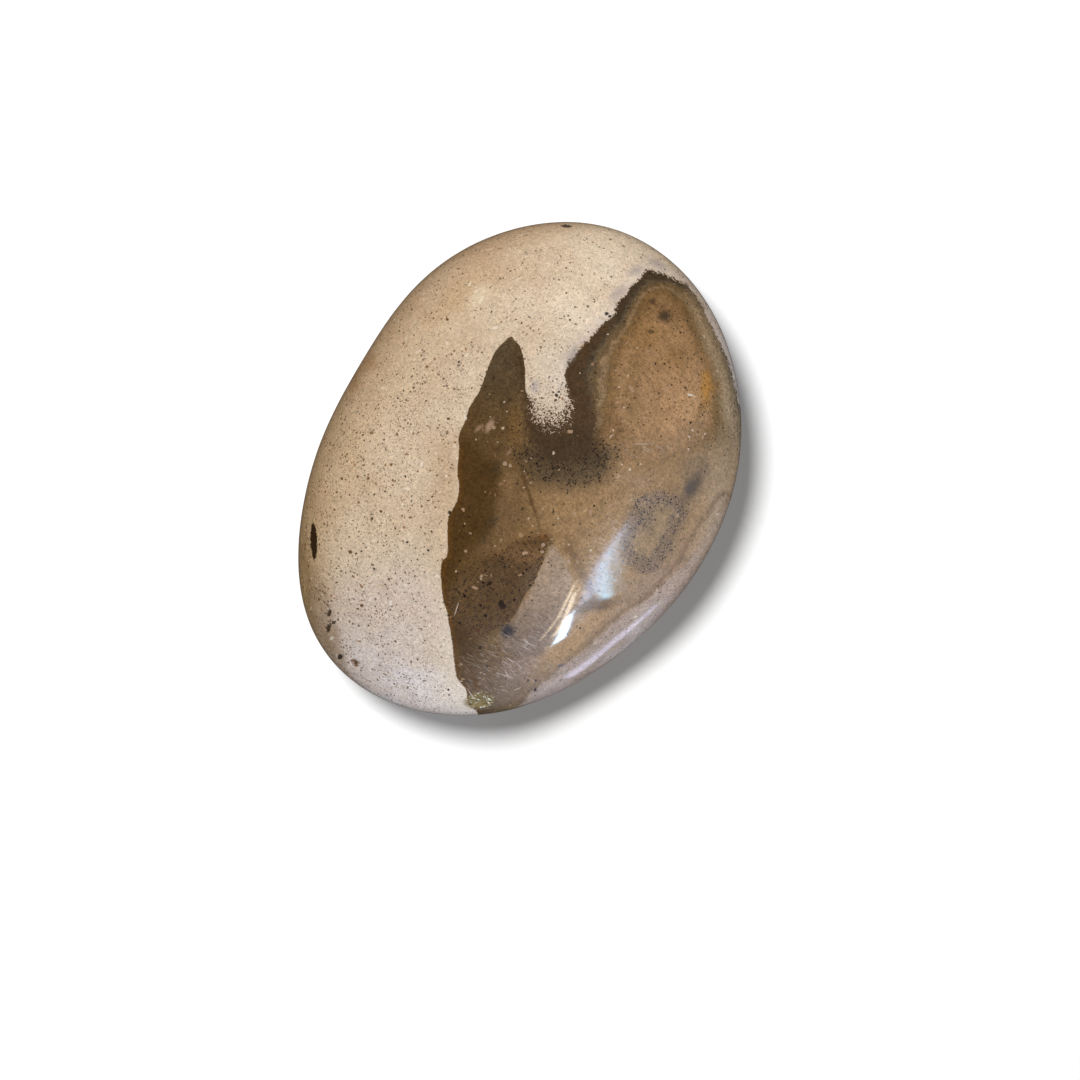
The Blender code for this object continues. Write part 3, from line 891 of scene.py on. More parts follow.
sootRing = {  # a ring of black dots, on a greyish ground
    "tone": paint(66, 60, 62),
    "strength": 0.6,
    "ragged": 2.2,
    "band": (1.3, 0.4),  # to each side of its middle line
    "filled": ((14.4, -5.0), 1.7, 1.5, 40, 0.7),
    "fine": (0.4, 0.54, 0.5, 1.0),
    "grit": (0.6, 0.42, 0.25, 1.0),
}

moreGrains = {  # the share that is added in the dotted and in the sooty zones
    "coarse": 0.5,
    "inDottedEnd": 0.35,
    "soot": 0.95,
    "sootInLeaf": 0.4,
}


def softSpotGroup(kind):
    inputs = {"Place": ("Vector", None), "Centre": ("Vector", None), "Along": ("Vector", None),
              "Across": ("Vector", None), "Softness": ("Float", 0.5)}
    tree, given, out = openGroup("softSpot", kind, inputs, {"Mask": "Float"})
    moved = vectorCalc(tree, "SUBTRACT", given["Place"], given["Centre"])
    along = vectorCalc(tree, "DOT_PRODUCT", moved, given["Along"])
    across = vectorCalc(tree, "DOT_PRODUCT", moved, given["Across"])
    spread = calc(tree, "MULTIPLY_ADD", along, along, calc(tree, "MULTIPLY", across, across))
    outer = calc(tree, "ADD", 1.0, given["Softness"])
    inner = calc(tree, "SUBTRACT", 1.0, given["Softness"])
    feed(out["Mask"], fade(tree, calc(tree, "SQRT", spread), outer, inner))
    return tree


def placeSpot(tree, place, softSpot, centre, halfLength, halfWidth, turn, softness):
    angle = radians(turn)
    inputs = {
        "Place": place, "Centre": (*centre, 0), "Softness": softness,
        "Along": (cos(angle) / halfLength, sin(angle) / halfLength, 0),
        "Across": (-sin(angle) / halfWidth, cos(angle) / halfWidth, 0),
    }
    return placeGroup(tree, softSpot, inputs).outputs[0]


def shade(tree, colour, value, amount):
    # lightens and darkens a colour with a noise: 0.5 leaves it, and 0 and 1 change it by the amount
    span = calc(tree, "MULTIPLY", amount, 2.0)
    factor = calc(tree, "MULTIPLY_ADD", calc(tree, "SUBTRACT", value, 0.5), span, 1.0)
    return vectorCalc(tree, "SCALE", colour, factor)


def toneRamp(tree, value, stops):
    node = addNode(tree, "ShaderNodeValToRGB", {"Fac": value})
    ramp = node.color_ramp
    while len(ramp.elements) < len(stops):
        ramp.elements.new(1.0)
    for element, (place, colour) in zip(ramp.elements, stops):
        element.position = place
        element.color = colour
    return node.outputs["Color"]


def washOver(tree, colour, place, softSpot, washes, within=None):
    for *shape, tint, strength in washes:
        mask = calc(tree, "MULTIPLY", placeSpot(tree, place, softSpot, *shape), strength)
        if within is not None:
            mask = calc(tree, "MULTIPLY", mask, within)
        colour = blend(tree, mask, colour, tint)
    return colour


# What changes slowly over the skin is painted onto the mesh: the washes, how thickly the grains lie, and
# for each sheet of marks the way from each point to its nearest mark, measured in the mark's own size.

def washesGroup(name, washes, softSpot):
    inputs = {"Colour": ("Color", None), "Place": ("Vector", None)}
    tree, given, out = openGroup(name, "GeometryNodeTree", inputs, {"Colour": "Color"})
    feed(out["Colour"], washOver(tree, given["Colour"], given["Place"], softSpot, washes))
    return tree


def sample(tree, points, index, kind, value):
    node = addNode(tree, "GeometryNodeSampleIndex", {0: points}, data_type=kind)
    feed(node.inputs["Value"], value)
    feed(node.inputs["Index"], index)
    return node.outputs[0]


def flecksGroup():
    inputs = {
        "Geometry": ("Geometry", None), "Spacing": ("Float", 1.0), "Smallest": ("Float", 0.05),
        "Largest": ("Float", 0.15), "Stretch": ("Float", 1.0), "Share": ("Float", 1.0),
        "Dark": ("Color", None), "Light": ("Color", None), "Seed": ("Int", 0),
        "Aim Name": ("String", ""), "Tint Name": ("String", ""),
    }
    tree, given, out = openGroup("scatteredFlecks", "GeometryNodeTree", inputs, {"Geometry": "Geometry"})
    sown = addNode(tree, "GeometryNodeDistributePointsOnFaces", {"Mesh": given["Geometry"]},
                   distribute_method="POISSON")
    feed(sown.inputs["Distance Min"], calc(tree, "MULTIPLY", given["Spacing"], mm))
    enough = calc(tree, "DIVIDE", 4 / mm ** 2, times(tree, given["Spacing"], given["Spacing"]))
    feed(sown.inputs["Density Max"], enough)
    feed(sown.inputs["Seed"], given["Seed"])
    points = sown.outputs["Points"]
    chances = []
    for extra in range(3):
        random = addNode(tree, "FunctionNodeRandomValue", data_type="FLOAT")
        feed(random.inputs["Seed"], calc(tree, "ADD", given["Seed"], float(extra)))
        chances.append(random.outputs[1])
    span = calc(tree, "SUBTRACT", given["Largest"], given["Smallest"])
    radius = calc(tree, "MULTIPLY_ADD", times(tree, chances[0], chances[0]), span, given["Smallest"])
    isThere = calc(tree, "LESS_THAN", chances[1], given["Share"])
    radius = calc(tree, "ADD", times(tree, radius, isThere), 0.0005)  # never nought, as it is divided by
    sides = {0: (-1, -1, -1), 1: (1, 1, 1)}
    turned = addNode(tree, "FunctionNodeRandomValue", sides, data_type="FLOAT_VECTOR")
    axis = vectorCalc(tree, "NORMALIZE", turned.outputs[0])
    position = addNode(tree, "GeometryNodeInputPosition").outputs[0]
    index = addNode(tree, "GeometryNodeSampleNearest", {0: points, 1: position}).outputs[0]
    centre = sample(tree, points, index, "FLOAT_VECTOR", position)
    radius = sample(tree, points, index, "FLOAT", radius)
    axis = sample(tree, points, index, "FLOAT_VECTOR", axis)
    tint = blend(tree, chances[2], given["Dark"], given["Light"])
    tint = sample(tree, points, index, "FLOAT_COLOR", tint)
    away = vectorCalc(tree, "SCALE", vectorCalc(tree, "SUBTRACT", position, centre), 1 / mm)
    shorten = calc(tree, "SUBTRACT", calc(tree, "DIVIDE", 1.0, given["Stretch"]), 1.0)
    shorten = calc(tree, "MULTIPLY", vectorCalc(tree, "DOT_PRODUCT", away, axis), shorten)
    away = vectorCalc(tree, "ADD", away, vectorCalc(tree, "SCALE", axis, shorten))
    aim = vectorCalc(tree, "SCALE", away, calc(tree, "DIVIDE", 1.0, radius))
    red, green, blue, _ = addNode(tree, "FunctionNodeSeparateColor", {0: tint}).outputs
    tint = addNode(tree, "FunctionNodeCombineColor", {0: red, 1: green, 2: blue, 3: radius}).outputs[0]
    geometry = store(tree, given["Geometry"], given["Aim Name"], "FLOAT_VECTOR", aim)
    feed(out["Geometry"], store(tree, geometry, given["Tint Name"], "FLOAT_COLOR", tint))
    return tree


def marksGroup():
    inputs = {"Geometry": ("Geometry", None), "Marks": ("Object", None),
              "Aim Name": ("String", ""), "Tint Name": ("String", "")}
    tree, given, out = openGroup("sheetOfMarks", "GeometryNodeTree", inputs, {"Geometry": "Geometry"})
    points = addNode(tree, "GeometryNodeObjectInfo", {"Object": given["Marks"]}).outputs["Geometry"]
    place = vectorCalc(tree, "MULTIPLY", named(tree, "drawnPlace", "FLOAT_VECTOR"), (1, 1, 0))
    index = addNode(tree, "GeometryNodeSampleNearest", {0: points, 1: place}).outputs[0]
    position = addNode(tree, "GeometryNodeInputPosition").outputs[0]
    away = vectorCalc(tree, "SUBTRACT", place, sample(tree, points, index, "FLOAT_VECTOR", position))
    aims = []
    for side in ("along", "across"):
        way = sample(tree, points, index, "FLOAT_VECTOR", named(tree, side, "FLOAT_VECTOR"))
        aims.append(vectorCalc(tree, "DOT_PRODUCT", away, way))
    tint = sample(tree, points, index, "FLOAT_COLOR", named(tree, "tint", "FLOAT_COLOR"))
    geometry = store(tree, given["Geometry"], given["Aim Name"], "FLOAT_VECTOR", joinVector(tree, *aims))
    feed(out["Geometry"], store(tree, geometry, given["Tint Name"], "FLOAT_COLOR", tint))
    return tree


def sortMarks():
    # Marks that lie close together go on different sheets, so that each has the ground round it.
    placed = [((u, v), radius, radius, 0, tone) for tone, spots in dots.values() for u, v, radius in spots]
    sheets = []
    for mark in patches + placed:
        free = [sheet for sheet in sheets if all(
            hypot(mark[0][0] - other[0][0], mark[0][1] - other[0][1]) > marks["apart"] for other in sheet)]
        if not free:
            sheets.append([])
        (free or sheets[-1:])[0].append(mark)
    return sheets


def drawMarks(name, sheet):
    mesh = bpy.data.meshes.new(name)
    mesh.from_pydata([(u, v, 0) for (u, v), *_ in sheet], [], [])
    turns = [radians(turn) for _, _, _, turn, _ in sheet]
    ways = {
        "along": [(cos(turn) / mark[1], sin(turn) / mark[1], 0) for turn, mark in zip(turns, sheet)],
        "across": [(-sin(turn) / mark[2], cos(turn) / mark[2], 0) for turn, mark in zip(turns, sheet)],
    }
    for side, vectors in ways.items():
        way = mesh.attributes.new(side, "FLOAT_VECTOR", "POINT")
        for point, vector in zip(way.data, vectors):
            point.vector = vector
    tint = mesh.attributes.new("tint", "FLOAT_COLOR", "POINT")
    for point, (_, _, halfWidth, _, tone) in zip(tint.data, sheet):
        point.color = (*tone[:3], halfWidth)
    drawn = bpy.data.objects.new(name, mesh)
    bpy.context.scene.collection.objects.link(drawn)
    return drawn


def layTints(tree, geometry, u, height, loosePlace, cloudy):
    # the washed colours of both rocks and of the brown rock's zones
    softSpot = softSpotGroup("GeometryNodeTree")

    def washed(name, washes, colour):
        group = washesGroup(name, washes, softSpot)
        return placeGroup(tree, group, {"Colour": colour, "Place": loosePlace}).outputs[0]

    cream = washed("creamWashes", creamRock["washes"], creamRock["body"])
    cloud = times(tree, fade(tree, cloudy, *painting["cloudy"]), creamRock["cloudAmount"])
    tints = {"cream": blend(tree, cloud, cream, creamRock["cloud"])}
    stops = brownRock["acrossTones"]
    first, last = stops[0][0], stops[-1][0]
    drift = sway(tree, u, cloudy, painting["cloudShift"])
    across = calc(tree, "DIVIDE", calc(tree, "SUBTRACT", drift, first), last - first, clamp=True)
    brown = toneRamp(tree, across, [((place - first) / (last - first), tone) for place, tone in stops])
    isWashed = fade(tree, height, *painting["washesFrom"])
    tints["brown"] = blend(tree, isWashed, brown, washed("brownWashes", brownRock["washes"], brown))
    for name in ("heart", "leaf", "bevel"):
        tints[name] = washed(name + "Washes", brownRock[name + "Washes"], brownRock[name])
    for name, tint in tints.items():
        geometry = store(tree, geometry, name + "Tint", "FLOAT_COLOR", tint)
    return geometry


def layCrowd(tree, geometry, v, brownEdge, crowd):
    # how thickly the grains lie
    strip = painting["strip"]
    isStrip = times(tree, fade(tree, brownEdge, *strip["edge"]), fade(tree, v, *strip["v"]))
    thinned = fade(tree, isStrip, 0.0, 1.0, 1.0, strip["crowd"])
    crowd = times(tree, fade(tree, crowd, *painting["crowd"]), thinned)
    return store(tree, geometry, "crowd", "FLOAT", times(tree, crowd, fade(tree, v, *painting["farEnd"])))


def sowFlecks(tree, given, geometry, u, brownEdge):
    scatter = flecksGroup()
    isBrown = calc(tree, "GREATER_THAN", brownEdge, 0.0)
    isLeft = fade(tree, u, *painting["left"])
    for number, (name, (*_, creamTones, brownTones)) in enumerate(flecks.items()):
        span = calc(tree, "SUBTRACT", given[name + " Share Left"], given[name + " Share Right"])
        creamShare = calc(tree, "MULTIPLY_ADD", isLeft, span, given[name + " Share Right"])
        span = calc(tree, "SUBTRACT", given[name + " Share Brown"], creamShare)
        inputs = {key: given[f"{name} {key}"] for key in ("Spacing", "Smallest", "Largest", "Stretch")}
        inputs.update({
            "Geometry": geometry, "Share": calc(tree, "MULTIPLY_ADD", isBrown, span, creamShare),
            "Dark": blend(tree, isBrown, creamTones[0], brownTones[0]),
            "Light": blend(tree, isBrown, creamTones[1], brownTones[1]),
            "Seed": 7 * number + 3, "Aim Name": name + "Aim", "Tint Name": name + "Tint",
        })
        geometry = placeGroup(tree, scatter, inputs).outputs[0]
    return geometry


def paintingTree(inputs, sheets):
    inputs = {"Geometry": ("Geometry", None), **inputs}
    tree, given, out = openGroup("palmStonePainting", "GeometryNodeTree", inputs, {"Geometry": "Geometry"})
    position = addNode(tree, "GeometryNodeInputPosition").outputs[0]
    rock = vectorCalc(tree, "SCALE", position, 1 / mm)
    drawnPlace = named(tree, "drawnPlace", "FLOAT_VECTOR")
    u, v, height = splitVector(tree, drawnPlace)
    brownEdge = named(tree, "brownEdge", "FLOAT")
    bend = vectorCalc(tree, "SCALE", wobble(tree, rock, given["Wander Size"], 1, 2.0), given["Wander"])
    loosePlace = vectorCalc(tree, "MULTIPLY", vectorCalc(tree, "ADD", drawnPlace, bend), (1, 1, 0))
    cloudy = noise(tree, rock, given["Cloud Size"], 5, 3.0).outputs[0]
    crowd = noise(tree, rock, given["Crowd Size"], 11, 2.0).outputs[0]
    geometry = layTints(tree, given["Geometry"], u, height, loosePlace, cloudy)
    geometry = layCrowd(tree, geometry, v, brownEdge, crowd)
    geometry = sowFlecks(tree, given, geometry, u, brownEdge)
    laid = marksGroup()
    for name in sheets:
        inputs = {"Geometry": geometry, "Marks": given[name]}
        inputs.update({"Aim Name": name + "Aim", "Tint Name": name + "Tint"})
        geometry = placeGroup(tree, laid, inputs).outputs[0]
    real = addNode(tree, "GeometryNodeRealizeInstances", {0: geometry})
    finished = addNode(tree, "GeometryNodeSetMaterial", {0: real.outputs[0], "Material": given["Finish"]})
    feed(out["Geometry"], finished.outputs[0])
    return tree


def paintStone(stone, finish):
    drawn = {f"marks{number}": sheet for number, sheet in enumerate(sortMarks(), 1)}
    drawn = {name: drawMarks(name, sheet) for name, sheet in drawn.items()}
    values = {
        "Wander Size": painting["wanderSize"],
        "Wander": painting["wander"],
        "Cloud Size": painting["cloudSize"],
        "Crowd Size": painting["crowdSize"],
        "Finish": finish,
        **drawn,
    }
    for name, (spacing, smallest, biggest, stretch, shares, *_) in flecks.items():
        measures = {"Spacing": spacing, "Smallest": smallest, "Largest": biggest, "Stretch": stretch}
        measures.update(zip(("Share Left", "Share Right", "Share Brown"), shares))
        values.update({f"{name} {key}": value for key, value in measures.items()})
    modifier = stone.modifiers.new("Palm stone painting", "NODES")
    modifier.node_group = paintingTree(inputsFor(values), drawn)
    setInputs(modifier, values)
    return drawn


def makeStone(finish):
    stone = bpy.data.objects.new("palmStone", bpy.data.meshes.new("palmStone"))
    bpy.context.scene.collection.objects.link(stone)
    helpers = [*shapeStone(stone, finish).values(), *paintStone(stone, finish).values()]
    depsgraph = bpy.context.evaluated_depsgraph_get()
    mesh = bpy.data.meshes.new_from_object(
        stone.evaluated_get(depsgraph), preserve_all_data_layers=True, depsgraph=depsgraph)
    stone.modifiers.clear()
    stone.data = mesh
    mesh.name = "palmStone"
    for thing in helpers:
        bpy.data.objects.remove(thing)
    return stone


# The material

def grainsGroup():
    # grains that lie anywhere in the rock, and show where the skin cuts them
    inputs = {
        "Place": ("Vector", None), "Spacing": ("Float", 1.0), "Smallest": ("Float", 0.05),
        "Largest": ("Float", 0.15), "Share": ("Float", 0.5), "Edge": ("Float", 0.025),
    }
    outputs = {"Mask": "Float", "Chance": "Float"}
    tree, given, out = openGroup("scatteredGrains", "ShaderNodeTree", inputs, outputs)
    cells = addNode(tree, "ShaderNodeTexVoronoi", {"Vector": given["Place"]})
    feed(cells.inputs["Scale"], calc(tree, "DIVIDE", 1.0, given["Spacing"]))
    chance = addNode(tree, "ShaderNodeSeparateColor", {0: cells.outputs["Color"]}).outputs
    away = calc(tree, "MULTIPLY", cells.outputs["Distance"], given["Spacing"])
    span = calc(tree, "SUBTRACT", given["Largest"], given["Smallest"])
    radius = calc(tree, "MULTIPLY_ADD", chance[0], span, given["Smallest"])
    outer = calc(tree, "ADD", radius, given["Edge"])
    inner = calc(tree, "SUBTRACT", radius, given["Edge"])
    isThere = calc(tree, "LESS_THAN", chance[1], given["Share"])
    feed(out["Mask"], calc(tree, "MULTIPLY", fade(tree, away, outer, inner), isThere))
    feed(out["Chance"], chance[2])
    return tree


def markGroup():
    # shows one mark, from the way to it in its own size
    inputs = {
        "Aim": ("Vector", None), "Size": ("Float", 0.1), "Bend": ("Vector", None), "Edge": ("Float", 0.03),
    }
    tree, given, out = openGroup("nearestMark", "ShaderNodeTree", inputs, {"Mask": "Float"})
    inSize = calc(tree, "DIVIDE", 1.0, given["Size"])
    bent = vectorCalc(tree, "ADD", given["Aim"], vectorCalc(tree, "SCALE", given["Bend"], inSize))
    soft = calc(tree, "MULTIPLY", given["Edge"], inSize)
    spread = vectorCalc(tree, "LENGTH", bent)
    feed(out["Mask"], fade(tree, spread, calc(tree, "ADD", 1.0, soft), calc(tree, "SUBTRACT", 1.0, soft)))
    return tree


def attribute(tree, name):
    return addNode(tree, "ShaderNodeAttribute", attribute_name=name).outputs


def readSkin(tree):
    # everything that the finish is laid out by
    skin = {name: attribute(tree, name + "Edge")["Fac"] for name in outlines}
    skin.update({name: attribute(tree, name)["Fac"] for name in (*stoneForm["flaws"], "crowd")})
    for name in ("cream", "brown", "heart", "leaf", "bevel"):
        skin[name + "Tint"] = attribute(tree, name + "Tint")["Color"]
    place = attribute(tree, "drawnPlace")["Vector"]
    skin["u"], skin["v"], height = splitVector(tree, place)
    skin["isTop"] = fade(tree, height, *painting["top"])
    skin["place"] = vectorCalc(tree, "MULTIPLY", place, (1, 1, 0))
    objectPlace = addNode(tree, "ShaderNodeTexCoord").outputs["Object"]
    skin["rock"] = vectorCalc(tree, "SCALE", objectPlace, 1 / mm)
    bend = wobble(tree, skin["rock"], *texture["bend"])
    skin["bend"] = vectorCalc(tree, "SCALE", bend, texture["bendGrains"])
    flatBend = vectorCalc(tree, "MULTIPLY", bend, (texture["bendWashes"], texture["bendWashes"], 0))
    skin["finePlace"] = vectorCalc(tree, "ADD", skin["place"], flatBend)
    skin["grainPlace"] = vectorCalc(tree, "ADD", skin["rock"], skin["bend"])
    for name in ("grit", "fine", "small"):
        skin[name] = noise(tree, skin["rock"], *texture[name]).outputs[0]
    return skin


def extent(tree, skin, zone, *sides):
    # where something shows, by all of its fades along u or v, from an outline or by a noise
    return times(tree, *(fade(tree, skin[side], *zone[side]) for side in sides))


def raggedEdge(tree, skin, outline, zone):
    # how far inside an outline a place lies, with an edge that the small noise bends
    return sway(tree, skin[outline], skin["small"], zone["ragged"])


def inside(tree, edge, soft):
    return fade(tree, edge, calc(tree, "MULTIPLY", soft, -1.0), soft)


def paintFarLobe(tree, skin, softSpot, colour):
    # bands that follow the lobe's edge, and the heart within them
    zone = zones["lobe"]
    outward = calc(tree, "MAXIMUM", skin["brown"], 0.0)
    inward = calc(tree, "MAXIMUM", calc(tree, "MULTIPLY", skin["heart"], -1.0), 0.0)
    whole = calc(tree, "ADD", calc(tree, "ADD", outward, inward), zone["least"])
    crowding = fade(tree, skin["u"], *zone["crowding"])
    depth = calc(tree, "POWER", calc(tree, "DIVIDE", outward, whole), crowding)
    depth = sway(tree, depth, skin["small"], zone["ragged"])
    isLobe = extent(tree, skin, zone, "u", "v")
    colour = blend(tree, isLobe, colour, toneRamp(tree, depth, brownRock["lobeBands"]))
    colour = washOver(tree, colour, skin["finePlace"], softSpot, brownRock["lobePaintedLight"])
    skin["dottedEnd"] = times(tree, fade(tree, skin["v"], *zone["dottedEnd"]), isLobe)

    zone = zones["heart"]
    isHeart = inside(tree, raggedEdge(tree, skin, "heart", zone), zone["soft"])
    skin["isHeart"] = times(tree, isHeart, extent(tree, skin, zone, "v"))
    tone = blend(tree, fade(tree, skin["heart"], *zone["rim"]), brownRock["heartEdge"], skin["heartTint"])
    return blend(tree, skin["isHeart"], colour, tone)


def paintHook(tree, skin, colour):
    # the dark hook round the bay, with a sooty skirt under it
    zone = zones["skirt"]
    isSkirt = fade(tree, raggedEdge(tree, skin, "hook", zone), *zone["reach"])
    isSkirt = times(tree, isSkirt, extent(tree, skin, zone, "v"))
    skin["skirt"] = times(tree, isSkirt, extent(tree, skin, zone, "hook"))
    colour = blend(tree, times(tree, isSkirt, zone["strength"]), colour, brownRock["skirt"])

    zone = zones["hook"]
    soft = fade(tree, skin["v"], *zone["soft"])
    tone = blend(tree, fade(tree, skin["v"], *zone["mottle"]), brownRock["hook"], brownRock["hookMottle"])
    return blend(tree, inside(tree, raggedEdge(tree, skin, "hook", zone), soft), colour, tone)


def paintNearLobe(tree, skin, colour):
    # an olive edge, the dotted leaf, a painted reflection beside it (a pale greyish patch), and a line
    # along the cream
    zone = zones["olive"]
    isOlive = inside(tree, raggedEdge(tree, skin, "olive", zone), zone["soft"])
    colour = blend(tree, times(tree, isOlive, zone["strength"]), colour, brownRock["olive"])

    zone = zones["leaf"]
    leafEdge = raggedEdge(tree, skin, "leaf", zone)
    soft = fade(tree, extent(tree, skin, zone, "u", "v"), 0.0, 1.0, *zone["soft"])
    skin["isLeaf"] = inside(tree, leafEdge, soft)
    colour = blend(tree, skin["isLeaf"], colour, skin["leafTint"])

    # a painted reflection of the window's light, a pale patch beside the leaf
    zone = zones["veil"]
    isPaintedReflection = inside(tree, raggedEdge(tree, skin, "veil", zone), zone["soft"])
    isPaintedReflection = times(tree, isPaintedReflection, fade(tree, leafEdge, *zone["besideLeaf"]))
    tone = blend(tree, fade(tree, skin["v"], *zone["foot"]), brownRock["veil"], brownRock["paintedReflectionFoot"])
    colour = blend(tree, isPaintedReflection, colour, tone)

    zone = zones["edgeLine"]
    line = times(tree, extent(tree, skin, zone, "brown", "v", "u"), zone["strength"])
    return blend(tree, line, colour, brownRock["edgeLine"])


def paintBevel(tree, skin, colour):
    # the ground inside the ring of dots, and the bevel band with a darker line along it; the band's pale
    # pinkish-grey is partly the rock's tone and partly painted sheen, with painted highlights in its washes
    zone = zones["ringInside"]
    isInside = times(tree, extent(tree, skin, zone, "ring"), zone["strength"])
    colour = blend(tree, isInside, colour, brownRock["ringInside"])

    edge = raggedEdge(tree, skin, "bevel", zones["bevel"])
    zone = zones["bevelLine"]
    offLine = calc(tree, "ABSOLUTE", calc(tree, "ADD", edge, zone["outside"]))
    line = times(tree, fade(tree, offLine, zone["halfWidth"], 0.0), extent(tree, skin, zone, "u"))
    line = times(tree, line, skin["isTop"], zone["strength"])
    colour = blend(tree, line, colour, brownRock["bevelLine"])

    # the painted sheen is strongest towards the near end
    zone = zones["bevel"]
    edge = calc(tree, "SUBTRACT", edge, fade(tree, skin["v"], *zone["narrowing"]))
    skin["isBevel"] = times(tree, fade(tree, edge, *zone["edge"]), skin["isTop"])
    strength = times(tree, skin["isBevel"], fade(tree, skin["v"], *zone["strength"]))
    return blend(tree, strength, colour, skin["bevelTint"])


def findBorder(tree, skin, softSpot):
    # where the two rocks meet: crisp on the left, jagged on the right, and grainy under the bay
    bayFloor = placeSpot(tree, skin["place"], softSpot, *border["bayFloor"])
    bayFloor = times(tree, bayFloor, skin["isTop"])
    skin["isRight"] = extent(tree, skin, border["rightSide"], "u", "v")
    edge = skin["brown"]
    for name, (everywhere, onFloor, onRight) in border["ragged"].items():
        amount = calc(tree, "MULTIPLY_ADD", bayFloor, onFloor, everywhere)
        amount = calc(tree, "MULTIPLY_ADD", skin["isRight"], onRight, amount)
        edge = sway(tree, edge, skin[name], amount)
    skin["isBrown"] = inside(tree, edge, border["soft"])


def byRock(tree, skin, inCream, inBrown):
    return fade(tree, skin["isBrown"], 0.0, 1.0, inCream, inBrown)


def paintGround(tree, skin, softSpot):
    # the two rocks without their grains and marks
    brown = paintFarLobe(tree, skin, softSpot, skin["brownTint"])
    brown = paintHook(tree, skin, brown)
    brown = paintNearLobe(tree, skin, brown)
    brown = paintBevel(tree, skin, brown)
    isSmudge = times(tree, extent(tree, skin, smudge, "brown", "grit"), skin["isRight"], smudge["strength"])
    cream = blend(tree, isSmudge, skin["creamTint"], smudge["tone"])
    colour = blend(tree, skin["isBrown"], cream, brown)
    for name, amounts in texture["shades"].items():
        colour = shade(tree, colour, skin[name], byRock(tree, skin, *amounts))
    return colour


def addGrains(tree, skin, softSpot, colour):
    # the finest grains, the ring of soot, and the larger grains
    isBrown = skin["isBrown"]
    calm = fade(tree, times(tree, skin["isHeart"], isBrown), 0.0, 1.0, 1.0, pepper["inHeart"])
    peppered = times(tree, extent(tree, skin, pepper, "grit"), skin["crowd"], calm, pepper["strength"])
    colour = blend(tree, peppered, colour, blend(tree, isBrown, pepper["cream"], pepper["brown"]))

    offRing = calc(tree, "ABSOLUTE", raggedEdge(tree, skin, "ring", sootRing))
    filled = placeSpot(tree, skin["place"], softSpot, *sootRing["filled"])
    ring = largest(tree, fade(tree, offRing, *sootRing["band"]), filled)
    ring = times(tree, ring, skin["isTop"], extent(tree, skin, sootRing, "fine"))
    washed = times(tree, ring, extent(tree, skin, sootRing, "grit"), sootRing["strength"])
    colour = blend(tree, washed, colour, sootRing["tone"])

    dotted = largest(tree, skin["isLeaf"], times(tree, skin["dottedEnd"], moreGrains["inDottedEnd"]))
    sooty = largest(tree, ring, skin["skirt"], times(tree, skin["isLeaf"], moreGrains["sootInLeaf"]))
    more = {
        "coarse": times(tree, dotted, isBrown, moreGrains["coarse"]),
        "soot": times(tree, sooty, moreGrains["soot"]),
    }
    scatter = grainsGroup()
    for name, (spacing, smallest, biggest, inCream, inBrown) in grains.items():
        share, dark, light, strength = zip(inCream, inBrown)
        thinned = times(tree, byRock(tree, skin, *share), skin["crowd"])
        inputs = {"Place": skin["grainPlace"], "Spacing": spacing, "Smallest": smallest, "Largest": biggest}
        inputs["Share"] = calc(tree, "ADD", thinned, more[name])
        grain = placeGroup(tree, scatter, inputs).outputs
        tone = blend(tree, grain["Chance"], blend(tree, isBrown, *dark), blend(tree, isBrown, *light))
        shown = times(tree, grain["Mask"], byRock(tree, skin, *strength))
        colour = blend(tree, shown, colour, tone)
    return colour


def addMarks(tree, skin, softSpot, colour, sheets):
    # the flecks, the single marks, the large marks, and the rock within the chip and the pit
    oneMark = markGroup()
    layers = [(name, marks["fleckStrength"], 1.0) for name in flecks]
    layers += [(name, marks["strength"], skin["isTop"]) for name in sheets]
    for name, strength, within in layers:
        tint = attribute(tree, name + "Tint")
        inputs = {"Size": tint["Alpha"], "Bend": skin["bend"], "Edge": marks["edge"]}
        inputs["Aim"] = attribute(tree, name + "Aim")["Vector"]
        shown = placeGroup(tree, oneMark, inputs).outputs[0]
        colour = blend(tree, times(tree, shown, strength, within), colour, tint["Color"])
    colour = washOver(tree, colour, skin["finePlace"], softSpot, marks["large"], skin["isTop"])
    for flaw, tones in marks["flawTonesAndGlints"].items():
        broken = times(tree, skin[flaw], marks["flawStrength"])
        colour = blend(tree, broken, colour, toneRamp(tree, skin["fine"], tones))
    return colour


def addScratches(tree, skin, softSpot, colour):
    skin["scratched"] = 0.0
    for area in scratches["areas"]:
        spot = placeSpot(tree, skin["place"], softSpot, *area)
        skin["scratched"] = largest(tree, spot, skin["scratched"])
    hatches = []
    for turn, seed in scratches["hatches"]:
        along = turnFlat(tree, skin["place"], radians(turn))
        along = vectorCalc(tree, "MULTIPLY", along, (scratches["shorten"], 1.0, 1.0))
        hatches.append(noise(tree, along, scratches["size"], seed, 1.0).outputs[0])
    skin["hatch"] = hatches[-1]
    strokes = fade(tree, largest(tree, *hatches), *scratches["shown"])
    strokes = times(tree, strokes, skin["scratched"], scratches["strength"])
    for shape in scratches["long"]:
        stroke = placeSpot(tree, skin["place"], softSpot, *shape, scratches["longSoftness"])
        strokes = largest(tree, times(tree, stroke, scratches["longStrength"]), strokes)
    # paler strokes: partly the scuffs' own tone, partly painted highlight
    return blend(tree, times(tree, strokes, skin["isTop"]), colour, scratches["tone"])


